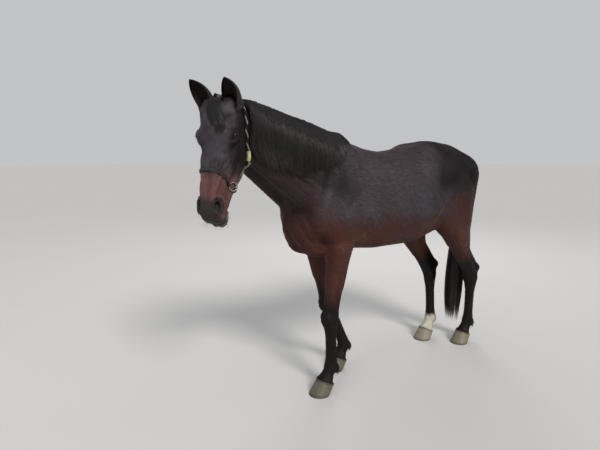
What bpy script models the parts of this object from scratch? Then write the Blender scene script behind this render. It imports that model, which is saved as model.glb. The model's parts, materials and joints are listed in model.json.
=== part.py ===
"""A bay horse standing in a halter: the solids of a still, life-size model.

The body is described once, as named masses (muscles, bones, joints) that blend into each other.
Blender's own shapes make those masses, its Remesh and Decimate modifiers join and thin them, and each
vertex is then settled on the blended surface. Thin cuts part the one body into its named pieces.
Metres, +Z up. The horse faces -Y, its left side is +X, and the middle of its footprint is the origin.
"""
import bpy
import bmesh
import numpy as np
from mathutils import Matrix, Vector
from mathutils.bvhtree import BVHTree

# ---------------------------------------------------------------- driving dimensions (metres, degrees)
STAND_X, STAND_Y = 0.0002, -0.2000      # what places the middle of the model's box on the origin
GAP = 0.0006                        # between pieces that touch
FIT_CELL = 0.013                    # remesh cell of the joined masses
BODY_TRIANGLES = 4000               # of the whole body before it is parted

HEAD_PITCH = 77.5                   # the face below level
HEAD_SIZE = 0.97
POLL = (0.0, -0.875, 1.720)         # on the straight neck
NECK_TURNS = ((-0.15, 4.0), (-0.42, 6.5), (-0.62, 8.0), (-0.79, 9.5))  # y of each joint, angle to the left

LEG_CUT = 0.795                     # height where the legs part from the trunk
NECK_CUT = ((0.0, -0.070, 1.60), (0.0, -0.400, 1.10))      # crest end and breast end of that cut
HEAD_CUT = ((-0.300, 0.080), (-0.060, -0.010), (0.015, -0.150), (0.050, -0.245), (0.130, -0.285),
            (0.270, -0.292), (0.750, -0.420))              # (down the face, out of it), behind the jaw

HOOF_TOE, HOOF_HEEL = 0.112, 0.018  # sole reach before and behind the coronet's middle
HOOF_WIDTH = 0.132
HOOF_TOE_HEIGHT, HOOF_HEEL_HEIGHT = 0.092, 0.046
EYE_RADIUS = 0.0205
EYE_PLACE = (0.1010, 0.177, -0.0510)
EAR_LENGTH, EAR_WIDTH, EAR_WALL = 0.162, 0.098, 0.0055
EAR_ROOT = (0.078, 0.018, -0.050)
EAR_TILT = (0.09, -0.62, 0.75)      # its axis: outwards, up the face, out of the face
EAR_OPENING = {1: (0.16, 0.75, 0.58), -1: (-0.45, 0.75, 0.58)}     # of the left and the right ear
EAR_LEAN = {1: 0.002, -1: 0.018}    # of the tip across the head, towards its left
STRAP_WIDTH, STRAP_LEVELS = 0.022, (0.0080, 0.0042)   # outer and inner face above the coat
RING_RADIUS, RING_WIRE = 0.021, 0.0030

COLOURS = {                         # linear colour and roughness
    "coat": ((0.030, 0.014, 0.010), 0.62),
    "points": ((0.012, 0.009, 0.009), 0.60),
    "hair": ((0.008, 0.006, 0.006), 0.55),
    "horn": ((0.230, 0.190, 0.145), 0.50),
    "eye": ((0.020, 0.010, 0.007), 0.08),
    "webbing": ((0.016, 0.012, 0.018), 0.75),
    "metal": ((0.520, 0.500, 0.470), 0.32),
}


# ---------------------------------------------------------------- masses and their distance functions
def turn(axis, degrees):
    """Rotation matrix about x (0), y (1) or z (2)."""
    angle = np.radians(degrees)
    c, s = np.cos(angle), np.sin(angle)
    i, j = ((1, 2), (2, 0), (0, 1))[axis]
    m = np.eye(3)
    m[i, i], m[i, j], m[j, i], m[j, j] = c, -s, s, c
    return m


def blob(centre, radii, blend=0.03, tilt=0.0, carve=False):
    """An ellipsoid, tilted about x."""
    return dict(kind="blob", centre=np.array(centre, float), radii=np.array(radii, float),
                turn=turn(0, tilt), blend=blend, carve=carve)


def rod(start, end, start_radius, end_radius, blend=0.02, flat=1.0):
    """A tapered round bar; flat below 1 presses it thinner from side to side."""
    return dict(kind="rod", start=np.array(start, float), end=np.array(end, float),
                radii=(start_radius, end_radius), flat=flat, blend=blend, carve=False)


def tube(rows, blend, caps, power=2.0, steps=5, level=False):
    """Rows of x, y, z, front radius, back radius, half width; level keeps the sections' sides along x."""
    return dict(kind="tube", rows=spline(rows, steps), caps=caps, power=power, level=level, blend=blend,
                carve=False)


def spline(rows, steps):
    """Catmull-Rom curve through rows of numbers."""
    rows = np.array(rows, float)
    ends = np.vstack([2 * rows[0] - rows[1], rows, 2 * rows[-1] - rows[-2]])
    t = (np.arange(steps) / steps)[:, None]
    spans = [0.5 * (2 * b + (c - a) * t + (2 * a - 5 * b + 4 * c - d) * t**2 + (3 * b - a - 3 * c + d) * t**3)
             for a, b, c, d in zip(ends, ends[1:], ends[2:], ends[3:])]
    return np.vstack(spans + [rows[-1:]])


def section_axes(tangent, level):
    """Unit side and front vectors of a tube's sections."""
    if level:
        side = np.array([1.0, 0.0, 0.0]) - tangent[:, :1] * tangent
    else:
        side = np.stack([tangent[:, 1], -tangent[:, 0], 0 * tangent[:, 0]], 1)
    side = side / np.linalg.norm(side, axis=1)[:, None]
    return side, np.cross(tangent, side)


def blob_distance(p, s):
    q = (p - s["centre"]) @ s["turn"]
    near = np.sqrt(((q / s["radii"])**2).sum(1))
    slope = np.sqrt(((q / s["radii"]**2)**2).sum(1))
    return near * (near - 1) / np.maximum(slope, 1e-6)


def rod_distance(p, s):
    run = s["end"] - s["start"]
    away = p - s["start"]
    t = np.clip(away @ run / (run @ run), 0, 1)
    away = away - t[:, None] * run
    away[:, 0] /= s["flat"]
    first, last = s["radii"]
    return (np.linalg.norm(away, axis=1) - (first + (last - first) * t)) * min(1, (s["flat"] + 1) / 2)


def tube_distance(p, s):
    rows = s["rows"]
    line = rows[:, :3]
    best = np.full(len(p), 1e9)
    part = np.zeros(len(p), int)
    share = np.zeros(len(p))
    for i in range(len(line) - 1):
        run = line[i + 1] - line[i]
        away = p - line[i]
        t = np.clip(away @ run / (run @ run), 0, 1)
        away = away - t[:, None] * run
        square = (away * away).sum(1)
        closer = square < best
        best[closer], part[closer], share[closer] = square[closer], i, t[closer]
    tangent = np.gradient(line, axis=0)
    tangent /= np.linalg.norm(tangent, axis=1)[:, None]
    share = share[:, None]
    here = rows[part] * (1 - share) + rows[part + 1] * share
    along = tangent[part] * (1 - share) + tangent[part + 1] * share
    side, front = section_axes(along, s["level"])
    away = p - here[:, :3]
    sideways = (away * side).sum(1)
    forward = (away * front).sum(1)
    beyond = ((part == 0) & (share[:, 0] <= 0)) | ((part == len(line) - 2) & (share[:, 0] >= 1))
    endways = np.where(beyond, (away * along).sum(1), 0)
    rest = np.sqrt(np.maximum(best - sideways**2 - endways**2, 0))
    deep = np.where(forward > 0, here[:, 3], here[:, 4])
    cap = np.where(part == 0, *s["caps"])
    n = s["power"]
    ratio = ((np.abs(sideways) / here[:, 5])**n + (rest / deep)**n + (np.abs(endways) / cap)**n)**(1 / n)
    length = np.sqrt(best)
    return np.where(length < 1e-4, -here[:, 5], length - length / np.maximum(ratio, 1e-4))


DISTANCE = {"blob": blob_distance, "rod": rod_distance, "tube": tube_distance}


def reach(s):
    """Box corners of one mass."""
    if s["kind"] == "blob":
        r = s["radii"].max()
        return s["centre"] - r, s["centre"] + r
    if s["kind"] == "rod":
        r = max(s["radii"])
        return np.minimum(s["start"], s["end"]) - r, np.maximum(s["start"], s["end"]) + r
    r = s["rows"][:, 3:6].max()
    return s["rows"][:, :3].min(0) - r, s["rows"][:, :3].max(0) + r


def smooth_min(a, b, blend):
    h = np.maximum(blend - np.abs(a - b), 0) / blend
    return np.minimum(a, b) - h * h * blend * 0.25


def region(masses, frame=(np.zeros(3), np.eye(3)), mirror=False):
    """Named masses in one frame; mirror gives them to both sides of its middle plane."""
    return dict(masses=masses, origin=frame[0], axes=frame[1], mirror=mirror)


def to_frame(p, part):
    """Points in a region's own frame, whose axes may be scaled."""
    local = (p - part["origin"]) @ np.linalg.inv(part["axes"]).T
    if part["mirror"]:
        local[:, 0] = np.abs(local[:, 0])
    return local


def depth(p, regions):
    """Signed distance of points to the blended surface of all regions, negative inside."""
    p = np.asarray(p, float)
    value = np.ones(len(p))
    for part in regions:
        scale = np.linalg.norm(part["axes"][:, 0])
        local = to_frame(p, part)
        for s in part["masses"].values():
            low, high = reach(s)
            margin = s["blend"] + 0.02
            near = np.nonzero(np.all((local > low - margin) & (local < high + margin), axis=1))[0]
            if len(near):
                d = DISTANCE[s["kind"]](local[near], s) * scale
                if s["carve"]:
                    value[near] = -smooth_min(-value[near], d, s["blend"])
                else:
                    value[near] = smooth_min(value[near], d, s["blend"])
    return value


def slope(p, regions, step=0.0008):
    """Gradient of depth, from four points of a tetrahedron."""
    corners = np.array([(1, -1, -1), (-1, -1, 1), (-1, 1, -1), (1, 1, 1)], float)
    total = sum(c * depth(p + c * step, regions)[:, None] for c in corners)
    return total / (4 * step)


def settle(p, regions, rounds=4, level=0.0):
    """Move points along the slope until they lie on the surface, or level above it."""
    for _ in range(rounds):
        g = slope(p, regions)
        size = np.maximum((g * g).sum(1), 0.2)
        step = ((depth(p, regions) - level) / size)[:, None] * g
        p = p - np.clip(step, -0.02, 0.02)
    return p


# ---------------------------------------------------------------- anatomy
def pose(point):
    """Turn a point of the straight neck to the horse's left, one joint after another."""
    point = np.array(point, float)
    placed = point.copy()
    axes = np.eye(3)
    for joint_y, angle in reversed(NECK_TURNS):
        if point[1] < joint_y:
            spin = turn(2, angle)
            joint = np.array([0, joint_y, 0])
            placed = spin @ (placed - joint) + joint
            axes = spin @ axes
    return placed, axes


def head_frame():
    """Origin at the poll; axes across the head, down the face and out of the face."""
    pitch = np.radians(HEAD_PITCH)
    axes = np.stack([[1, 0, 0], [0, -np.cos(pitch), -np.sin(pitch)], [0, -np.sin(pitch), np.cos(pitch)]], 1)
    origin, spin = pose(POLL)
    return origin, spin @ axes * HEAD_SIZE


def barrel():
    """Trunk along the back: y, top, bottom, half width."""
    profile = (
        (-0.12, 1.430, 0.885, 0.175),
        (0.00, 1.475, 0.845, 0.205),
        (0.16, 1.452, 0.830, 0.238),
        (0.36, 1.434, 0.815, 0.272),
        (0.56, 1.448, 0.815, 0.282),
        (0.73, 1.480, 0.845, 0.270),
        (0.88, 1.502, 0.915, 0.255),
        (1.00, 1.482, 0.985, 0.238))
    rows = [(0, y, low + 0.52 * (top - low), 0.48 * (top - low), 0.52 * (top - low), width)
            for y, top, low, width in profile]
    return region({
        "barrel": tube(rows, 0.05, (0.20, 0.235), 2.15),
        "withers front": rod((0, -0.14, 1.478), (0, 0.03, 1.490), 0.040, 0.036, 0.05, 0.8),
        "withers": rod((0, 0.03, 1.490), (0, 0.16, 1.445), 0.036, 0.035, 0.05, 0.8),
        "withers back": rod((0, 0.16, 1.445), (0, 0.32, 1.405), 0.035, 0.030, 0.05, 0.8),
        "croup": blob((0, 0.90, 1.390), (0.17, 0.25, 0.125), 0.05, -5),
        "breast": blob((0, -0.205, 1.050), (0.140, 0.130, 0.150), 0.05),
    })


def trunk_muscles():
    return region({
        "shoulder blade": rod((0.080, 0.02, 1.42), (0.140, -0.165, 1.12), 0.085, 0.095, 0.05, 0.62),
        "point of shoulder": blob((0.142, -0.185, 1.070), (0.064, 0.080, 0.090), 0.04),
        "triceps": blob((0.166, -0.060, 1.045), (0.062, 0.145, 0.112), 0.035, -38),
        "upper arm": rod((0.150, -0.15, 1.06), (0.158, -0.06, 0.94), 0.085, 0.070, 0.04, 0.75),
        "pectoral": blob((0.070, -0.235, 0.990), (0.068, 0.066, 0.105), 0.03, 22),
        "sternum": blob((0.055, -0.08, 0.905), (0.085, 0.18, 0.070), 0.05),
        "fore ribs": blob((0.130, 0.24, 1.045), (0.115, 0.24, 0.165), 0.06),
        "hind ribs": blob((0.150, 0.50, 1.09), (0.130, 0.24, 0.20), 0.06),
        "point of hip": blob((0.190, 0.665, 1.335), (0.050, 0.075, 0.055), 0.08),
        "loin": rod((0.10, 0.72, 1.410), (0.13, 1.10, 1.325), 0.085, 0.095, 0.06),
        "gluteal": blob((0.150, 0.88, 1.295), (0.115, 0.23, 0.150), 0.05, -20),
        "buttock": blob((0.098, 1.150, 1.195), (0.088, 0.110, 0.150), 0.04, 14),
        "flank fold": rod((0.190, 0.62, 1.09), (0.170, 0.83, 1.01), 0.045, 0.050, 0.07, 0.6),
    }, mirror=True)


def neck():
    """Neck: y, z, crest radius, underside radius, half width, before it is turned."""
    profile = (
        (-0.02, 1.250, 0.250, 0.270, 0.155),
        (-0.16, 1.322, 0.211, 0.265, 0.128),
        (-0.30, 1.392, 0.181, 0.245, 0.106),
        (-0.44, 1.461, 0.147, 0.212, 0.090),
        (-0.58, 1.532, 0.108, 0.180, 0.080),
        (-0.70, 1.590, 0.073, 0.145, 0.072),
        (-0.81, 1.635, 0.049, 0.105, 0.060))
    masses = {"neck": tube([(*pose((0, y, z))[0], *radii) for y, z, *radii in profile], 0.06, (0.12, 0.06))}
    for name, side in (("left", 1), ("right", -1)):
        masses["brachial " + name] = rod(pose((side * 0.050, -0.67, 1.45))[0], pose((side * 0.115, -0.22, 1.17))[0],
                                         0.044, 0.078, 0.04, 0.8)
        masses["splenius " + name] = rod(pose((side * 0.040, -0.66, 1.62))[0], pose((side * 0.078, -0.14, 1.43))[0],
                                         0.044, 0.082, 0.05, 0.8)
    return region(masses)


def skull():
    """Head along the face: down the face, out of it, front radius, back radius, half width."""
    profile = (
        (0.05, -0.085, 0.080, 0.100, 0.084),
        (0.13, -0.095, 0.100, 0.125, 0.090),
        (0.21, -0.098, 0.104, 0.110, 0.088),
        (0.30, -0.095, 0.091, 0.088, 0.077),
        (0.39, -0.090, 0.077, 0.072, 0.057),
        (0.47, -0.090, 0.069, 0.066, 0.056),
        (0.53, -0.093, 0.063, 0.065, 0.059),
        (0.57, -0.101, 0.050, 0.053, 0.053))
    rows = [(0, *row) for row in profile]
    return region({"skull": tube(rows, 0.045, (0.05, 0.030), 2.25, level=True)}, head_frame())


def face():
    return region({
        "crown": blob((0.050, 0.055, -0.060), (0.056, 0.085, 0.058), 0.03),
        "forehead": blob((0.044, 0.135, -0.050), (0.056, 0.105, 0.053), 0.03),
        "cheek": blob((0.056, 0.155, -0.176), (0.034, 0.120, 0.098), 0.025, -8),
        "jaw bar": rod((0.047, 0.20, -0.230), (0.028, 0.50, -0.134), 0.034, 0.024, 0.025),
        "jaw back": rod((0.053, 0.11, -0.222), (0.058, 0.045, -0.140), 0.038, 0.034, 0.03),
        "orbit": blob((0.0845, 0.178, -0.051), (0.028, 0.046, 0.034), 0.022),
        "brow": rod((0.060, 0.138, -0.022), (0.0935, 0.172, -0.035), 0.019, 0.017, 0.02),
        "cheek arch": rod((0.0945, 0.185, -0.065), (0.074, 0.085, -0.090), 0.018, 0.021, 0.022),
        "facial crest": rod((0.089, 0.225, -0.092), (0.066, 0.335, -0.096), 0.015, 0.011, 0.02),
        "nose side": rod((0.030, 0.30, -0.035), (0.024, 0.48, -0.040), 0.028, 0.023, 0.03),
        "nostril wing": blob((0.048, 0.522, -0.064), (0.030, 0.050, 0.040), 0.02),
        "upper lip": blob((0.022, 0.570, -0.094), (0.043, 0.036, 0.036), 0.02),
        "lower lip": blob((0.016, 0.576, -0.144), (0.034, 0.046, 0.027), 0.016),
        "hollow over the eye": blob((0.080, 0.118, -0.018), (0.020, 0.024, 0.012), 0.03, carve=True),
        "hollow before the cheek": blob((0.082, 0.385, -0.050), (0.022, 0.075, 0.026), 0.03, carve=True),
        "hollow of the jaw": blob((0.070, 0.44, -0.125), (0.018, 0.07, 0.020), 0.03, carve=True),
    }, head_frame(), mirror=True)


def between(a, b, share):
    return a + (b - a) * share


def leg_rows(stations):
    return [(*between(a, b, share), *radii) for a, b, share, *radii in stations]


def fore_leg(side, elbow, knee, fetlock, coronet):
    e, k, f, c = (np.array(v, float) for v in (elbow, knee, fetlock, coronet))
    out = np.array([side, 0.0, 0.0])
    rows = leg_rows((
        (e, k, 0.00, 0.080, 0.062, 0.056), (e, k, 0.20, 0.074, 0.060, 0.055), (e, k, 0.45, 0.063, 0.055, 0.052),
        (e, k, 0.70, 0.052, 0.050, 0.046), (e, k, 0.86, 0.049, 0.048, 0.045), (e, k, 1.00, 0.052, 0.050, 0.050),
        (k, f, 0.12, 0.048, 0.047, 0.046), (k, f, 0.27, 0.035, 0.041, 0.034), (k, f, 0.50, 0.030, 0.039, 0.031),
        (k, f, 0.78, 0.031, 0.040, 0.032), (k, f, 0.95, 0.038, 0.044, 0.039), (f, c, 0.12, 0.039, 0.045, 0.040),
        (f, c, 0.50, 0.036, 0.040, 0.038), (f, c, 0.82, 0.043, 0.043, 0.045), (f, c, 1.05, 0.052, 0.048, 0.053)))
    return region({
        "leg": tube(rows, 0.05, (0.09, 0.012), steps=4, level=True),
        "knee bone": blob(k + [0, 0.042, 0.012], (0.020, 0.020, 0.030), 0.02),
        "knee front": blob(k + [0, -0.028, 0.0], (0.042, 0.028, 0.044), 0.02),
        "fetlock back": blob(f + [0, 0.030, -0.012], (0.028, 0.022, 0.029), 0.02),
        "extensors": rod(between(e, k, -0.02) + out * 0.022 + [0, -0.030, 0],
                         between(e, k, 0.50) + out * 0.012 + [0, -0.025, 0], 0.050, 0.030, 0.03),
        "flexors": rod(between(e, k, -0.05) + out * 0.012 + [0, 0.026, 0],
                       between(e, k, 0.50) + out * 0.006 + [0, 0.022, 0], 0.046, 0.028, 0.03),
        "inner forearm": rod(between(e, k, 0.0) - out * 0.024, between(e, k, 0.42) - out * 0.012,
                             0.045, 0.030, 0.03),
    })


def hind_leg(side, hip, stifle, hock, fetlock, coronet):
    h, s, k, f, c = (np.array(v, float) for v in (hip, stifle, hock, fetlock, coronet))
    out = np.array([side, 0.0, 0.0])
    rows = leg_rows((
        (s, k, 0.05, 0.095, 0.115, 0.070), (s, k, 0.28, 0.072, 0.092, 0.064), (s, k, 0.52, 0.054, 0.070, 0.053),
        (s, k, 0.75, 0.046, 0.058, 0.044), (s, k, 0.92, 0.050, 0.056, 0.043), (k, f, 0.04, 0.051, 0.054, 0.045),
        (k, f, 0.17, 0.043, 0.048, 0.041), (k, f, 0.32, 0.034, 0.041, 0.034), (k, f, 0.55, 0.031, 0.039, 0.031),
        (k, f, 0.80, 0.032, 0.041, 0.032), (k, f, 0.96, 0.039, 0.045, 0.039), (f, c, 0.14, 0.039, 0.045, 0.039),
        (f, c, 0.50, 0.035, 0.039, 0.037), (f, c, 0.82, 0.042, 0.042, 0.043), (f, c, 1.05, 0.051, 0.047, 0.051)))
    point = k + [0, 0.058, 0.055]
    return region({
        "leg": tube(rows, 0.05, (0.08, 0.012), steps=4, level=True),
        "heel bone": rod(k + [0, 0.02, 0.0], point, 0.036, 0.026, 0.025, 0.85),
        "heel tendon": rod(point, between(s, k, 0.50) + [0, 0.055, 0.03], 0.022, 0.034, 0.035, 0.85),
        "hock back": rod(k + [0, 0.035, -0.03], between(k, f, 0.3) + [0, 0.022, 0], 0.026, 0.018, 0.02),
        "hock inner": blob(k - out * 0.018 + [0, -0.012, -0.02], (0.028, 0.034, 0.036), 0.02),
        "fetlock back": blob(f + [0, 0.030, -0.012], (0.028, 0.022, 0.029), 0.02),
        "thigh front": rod(h + out * 0.050 + [0, -0.10, 0.05], s - out * 0.008 + [0, -0.010, 0.03],
                           0.13, 0.080, 0.05, 0.78),
        "knee cap": blob(s + [0, -0.035, 0.005], (0.045, 0.045, 0.055), 0.05),
        "thigh back": rod(h + out * 0.040 + [0, 0.10, 0.06], between(s, k, 0.22) + out * 0.014 + [0, 0.055, 0],
                          0.135, 0.078, 0.05, 0.72),
        "ham": rod(h - out * 0.020 + [0, 0.200, 0.02], between(s, k, 0.36) + [0, 0.070, 0],
                   0.095, 0.050, 0.05, 0.85),
        "inner thigh": rod(h - out * 0.05 + [0, 0.07, -0.06], between(s, k, 0.25) - out * 0.015 + [0, 0.02, 0],
                           0.10, 0.055, 0.04, 0.75),
        "gaskin front": rod(between(s, k, 0.10) + out * 0.020 + [0, -0.010, 0],
                            between(s, k, 0.58) + out * 0.010 + [0, -0.012, 0], 0.058, 0.032, 0.03),
        "gaskin back": rod(between(s, k, 0.12) - out * 0.008 + [0, 0.045, 0],
                           between(s, k, 0.55) + [0, 0.030, 0], 0.055, 0.030, 0.03),
    })


LEGS = {   # each joint of each leg, in the stance
    "leg_fore_left": dict(elbow=(0.155, -0.070, 0.885), knee=(0.120, -0.106, 0.475),
                          fetlock=(0.108, -0.087, 0.158), coronet=(0.106, -0.126, 0.078)),
    "leg_fore_right": dict(elbow=(-0.155, 0.010, 0.885), knee=(-0.120, 0.070, 0.470),
                           fetlock=(-0.108, 0.208, 0.160), coronet=(-0.106, 0.168, 0.078)),
    "leg_hind_left": dict(hip=(0.130, 0.950, 1.220), stifle=(0.182, 0.905, 0.965), hock=(0.138, 1.265, 0.525),
                          fetlock=(0.115, 1.290, 0.158), coronet=(0.110, 1.247, 0.078)),
    "leg_hind_right": dict(hip=(-0.130, 0.930, 1.220), stifle=(-0.182, 0.830, 0.960), hock=(-0.138, 1.125, 0.520),
                           fetlock=(-0.115, 1.128, 0.158), coronet=(-0.110, 1.080, 0.078)),
}


def anatomy():
    legs = [(fore_leg if "fore" in name else hind_leg)(1 if "left" in name else -1, **joints)
            for name, joints in LEGS.items()]
    return [barrel(), neck(), skull(), trunk_muscles(), face()] + legs


# ---------------------------------------------------------------- meshes of the masses
def matrix_of(origin, axes):
    m = Matrix.Identity(4)
    for row in range(3):
        for column in range(3):
            m[row][column] = axes[row][column]
        m[row][3] = origin[row]
    return m


def add_blob(bm, s, frame):
    place = matrix_of(s["centre"], s["turn"] @ np.diag(s["radii"]))
    bmesh.ops.create_icosphere(bm, subdivisions=3, radius=1.0, matrix=frame @ place)


def add_rod(bm, s, frame):
    """Hull of the balls at the two ends."""
    pair = bmesh.new()
    for end, radius in zip((s["start"], s["end"]), s["radii"]):
        place = matrix_of(end, np.diag([radius * s["flat"], radius, radius]))
        bmesh.ops.create_icosphere(pair, subdivisions=2, radius=1.0, matrix=frame @ place)
    hull = bmesh.ops.convex_hull(pair, input=pair.verts[:], use_existing_faces=False)
    inside = [item for item in hull["geom_interior"] if isinstance(item, bmesh.types.BMVert)]
    bmesh.ops.delete(pair, geom=inside, context="VERTS")
    mesh = bpy.data.meshes.new("hull")
    pair.to_mesh(mesh)
    bm.from_mesh(mesh)
    bpy.data.meshes.remove(mesh)


def ring_stations(s):
    """Centre, side, front and radii of a tube's rings, with rounded ends."""
    rows = s["rows"]
    tangent = np.gradient(rows[:, :3], axis=0)
    tangent /= np.linalg.norm(tangent, axis=1)[:, None]
    side, front = section_axes(tangent, s["level"])
    stations = [(row[:3], a, b, row[3:]) for row, a, b in zip(rows, side, front)]
    rounding = np.radians((25, 50, 70, 83))
    for index, sign, cap in ((0, -1, s["caps"][0]), (-1, 1, s["caps"][1])):
        centre, a, b, radii = stations[index]
        extra = [(centre + sign * tangent[index] * cap * np.sin(angle), a, b, radii * np.cos(angle))
                 for angle in rounding]
        stations = extra[::-1] + stations if index == 0 else stations + extra
    return stations


def add_tube(bm, s, frame, sides=16):
    loops = []
    for centre, side, front, (ahead, behind, width) in ring_stations(s):
        loop = []
        for angle in 2 * np.pi * np.arange(sides) / sides:
            c, d = np.cos(angle), np.sin(angle)
            size = (abs(c)**s["power"] + abs(d)**s["power"])**(-1 / s["power"])
            point = centre + side * width * c * size + front * (ahead if d > 0 else behind) * d * size
            loop.append(bm.verts.new(frame @ Vector(point)))
        loops.append(loop)
    for one, two in zip(loops, loops[1:]):
        for i in range(sides):
            j = (i + 1) % sides
            bm.faces.new((one[i], one[j], two[j], two[i]))
    bm.faces.new(loops[0][::-1])
    bm.faces.new(loops[-1])


def masses_mesh(regions):
    """All masses as closed shapes in one mesh, still overlapping."""
    bm = bmesh.new()
    add = {"blob": add_blob, "rod": add_rod, "tube": add_tube}
    for part in regions:
        for flip in ((1, -1) if part["mirror"] else (1,)):
            frame = matrix_of(part["origin"], part["axes"] @ np.diag([flip, 1, 1]))
            for s in part["masses"].values():
                if not s["carve"]:
                    add[s["kind"]](bm, s, frame)
    bmesh.ops.recalc_face_normals(bm, faces=bm.faces)
    return bm


# ---------------------------------------------------------------- Blender helpers
def clear_scene():
    for item in list(bpy.data.objects):
        bpy.data.objects.remove(item, do_unlink=True)


def finish_of(name):
    """The Principled material of one kind of surface."""
    found = bpy.data.materials.get(name)
    if found:
        return found
    colour, roughness = COLOURS[name]
    made = bpy.data.materials.new(name)
    made.use_nodes = True
    shader = made.node_tree.nodes["Principled BSDF"]
    shader.inputs["Base Color"].default_value = (*colour, 1.0)
    shader.inputs["Roughness"].default_value = roughness
    shader.inputs["Metallic"].default_value = 1.0 if name == "metal" else 0.0
    return made


def object_from(bm, name):
    mesh = bpy.data.meshes.new(name)
    bm.to_mesh(mesh)
    made = bpy.data.objects.new(name, mesh)
    bpy.context.scene.collection.objects.link(made)
    return made


def bake(item):
    """The object's evaluated mesh as a bmesh; the object is removed."""
    bpy.context.view_layer.update()
    evaluated = item.evaluated_get(bpy.context.evaluated_depsgraph_get())
    bm = bmesh.new()
    bm.from_mesh(evaluated.to_mesh())
    evaluated.to_mesh_clear()
    bpy.data.objects.remove(item, do_unlink=True)
    return bm


def points_of(bm):
    return np.array([v.co for v in bm.verts])


def move_to(bm, points):
    for vertex, point in zip(bm.verts, points):
        vertex.co = point


def clean(bm):
    """Join doubled points, drop slivers and leave triangles only."""
    bmesh.ops.remove_doubles(bm, verts=bm.verts, dist=2e-5)
    bmesh.ops.dissolve_degenerate(bm, edges=bm.edges, dist=2e-5)
    bmesh.ops.triangulate(bm, faces=bm.faces)
    bmesh.ops.recalc_face_normals(bm, faces=bm.faces)


def islands(bm):
    """Groups of joined vertices."""
    left = set(bm.verts)
    found = []
    while left:
        stack = [left.pop()]
        island = set(stack)
        while stack:
            for edge in stack.pop().link_edges:
                for vertex in edge.verts:
                    if vertex in left:
                        left.remove(vertex)
                        island.add(vertex)
                        stack.append(vertex)
        found.append(island)
    return found


def keep_island(bm, choose):
    """Keep the island with the highest score."""
    groups = islands(bm)
    best = max(groups, key=choose)
    spare = [v for group in groups if group is not best for v in group]
    bmesh.ops.delete(bm, geom=spare, context="VERTS")
    return bm


def cut(bm, point, normal):
    """Copy of a closed mesh behind a plane, with the cut closed."""
    kept = bm.copy()
    everything = kept.verts[:] + kept.edges[:] + kept.faces[:]
    bmesh.ops.bisect_plane(kept, geom=everything, dist=1e-6, plane_co=Vector(point), plane_no=Vector(normal),
                           clear_outer=True)
    rim = [edge for edge in kept.edges if edge.is_boundary]
    bmesh.ops.holes_fill(kept, edges=rim, sides=0)
    clean(kept)
    return kept


def part_at(bm, point, normal):
    """The two halves of a mesh, GAP apart: behind the plane and before it."""
    point, normal = Vector(point), Vector(normal).normalized()
    step = normal * GAP / 2
    return cut(bm, point - step, normal), cut(bm, point + step, -normal)


def grown(bm, amount):
    """Object with the mesh pushed out along its normals."""
    copy = bm.copy()
    copy.normal_update()
    move_to(copy, [v.co + v.normal * amount for v in copy.verts])
    return object_from(copy, "cutter")


def combine(bm, other, operation, growth):
    """A Boolean with another mesh, first grown along its normals."""
    piece = object_from(bm, "piece")
    cutter = grown(other, growth)
    boolean = piece.modifiers.new("shape", "BOOLEAN")
    boolean.operation = operation
    boolean.solver = "MANIFOLD"      # EXACT returns nothing on the settled head
    boolean.object = cutter
    result = bake(piece)
    bpy.data.objects.remove(cutter, do_unlink=True)
    return result


def trim(bm, others):
    """Take others, grown by GAP, out of a mesh and keep its largest island."""
    for other in others:
        bm = combine(bm, other, "DIFFERENCE", GAP)
    clean(bm)
    return keep_island(bm, len)


# ---------------------------------------------------------------- the body and its cuts
def whole_body(regions):
    """One closed skin: the masses joined by Remesh, settled, thinned by Decimate and settled again."""
    joined = object_from(masses_mesh(regions), "masses")
    remesh = joined.modifiers.new("join", "REMESH")
    remesh.mode = "VOXEL"
    remesh.voxel_size = FIT_CELL
    bm = bake(joined)
    keep_island(bm, len)
    move_to(bm, settle(points_of(bm), regions, 4))
    for _ in range(2):
        bmesh.ops.smooth_vert(bm, verts=bm.verts, factor=0.5, use_axis_x=True, use_axis_y=True, use_axis_z=True)
    bmesh.ops.triangulate(bm, faces=bm.faces)
    thinned = object_from(bm, "body")
    decimate = thinned.modifiers.new("thin", "DECIMATE")
    decimate.ratio = BODY_TRIANGLES / len(bm.faces)
    bm = bake(thinned)
    move_to(bm, settle(points_of(bm), regions, 3))
    clean(bm)
    return bm


def head_block():
    """Prism round the head; its back runs behind the ears and the jaw, then out below the throat."""
    origin, axes = head_frame()
    outline = HEAD_CUT + ((0.75, 0.30), (-0.30, 0.30))
    bm = bmesh.new()
    left, right = ([bm.verts.new(Vector(origin + axes @ np.array([x, *place]))) for place in outline]
                   for x in (0.35, -0.35))
    bm.faces.new(left)
    bm.faces.new(right[::-1])
    for i in range(len(outline)):
        j = (i + 1) % len(outline)
        bm.faces.new((left[i], right[i], right[j], left[j]))
    clean(bm)
    return bm


def coronet_plane(coronet):
    rise = (HOOF_TOE_HEIGHT - HOOF_HEEL_HEIGHT) / (HOOF_TOE - 0.020)
    return Vector(coronet), Vector((0, rise, 1)).normalized()


def flesh(regions):
    """Head, neck, trunk and legs, parted by thin cuts."""
    body = whole_body(regions)
    crest, breast = NECK_CUT
    rear, front = part_at(body, crest, np.cross(np.array(breast) - crest, (1, 0, 0)))
    if max(v.co.y for v in rear.verts) < max(v.co.y for v in front.verts):
        rear, front = front, rear
    block = head_block()
    parts = {"head": combine(front, block, "INTERSECT", 0.0), "neck": combine(front, block, "DIFFERENCE", GAP)}
    for bm in parts.values():
        clean(bm)
        keep_island(bm, len)
    lower, parts["trunk"] = part_at(rear, (0, 0, LEG_CUT), (0, 0, 1))
    for name, joints in LEGS.items():
        knee = Vector(joints["knee"] if "knee" in joints else joints["hock"])
        nearest = keep_island(lower.copy(), lambda group, k=knee: -min((v.co - k).length for v in group))
        parts[name] = part_at(nearest, *coronet_plane(joints["coronet"]))[1]
    return parts


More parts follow.
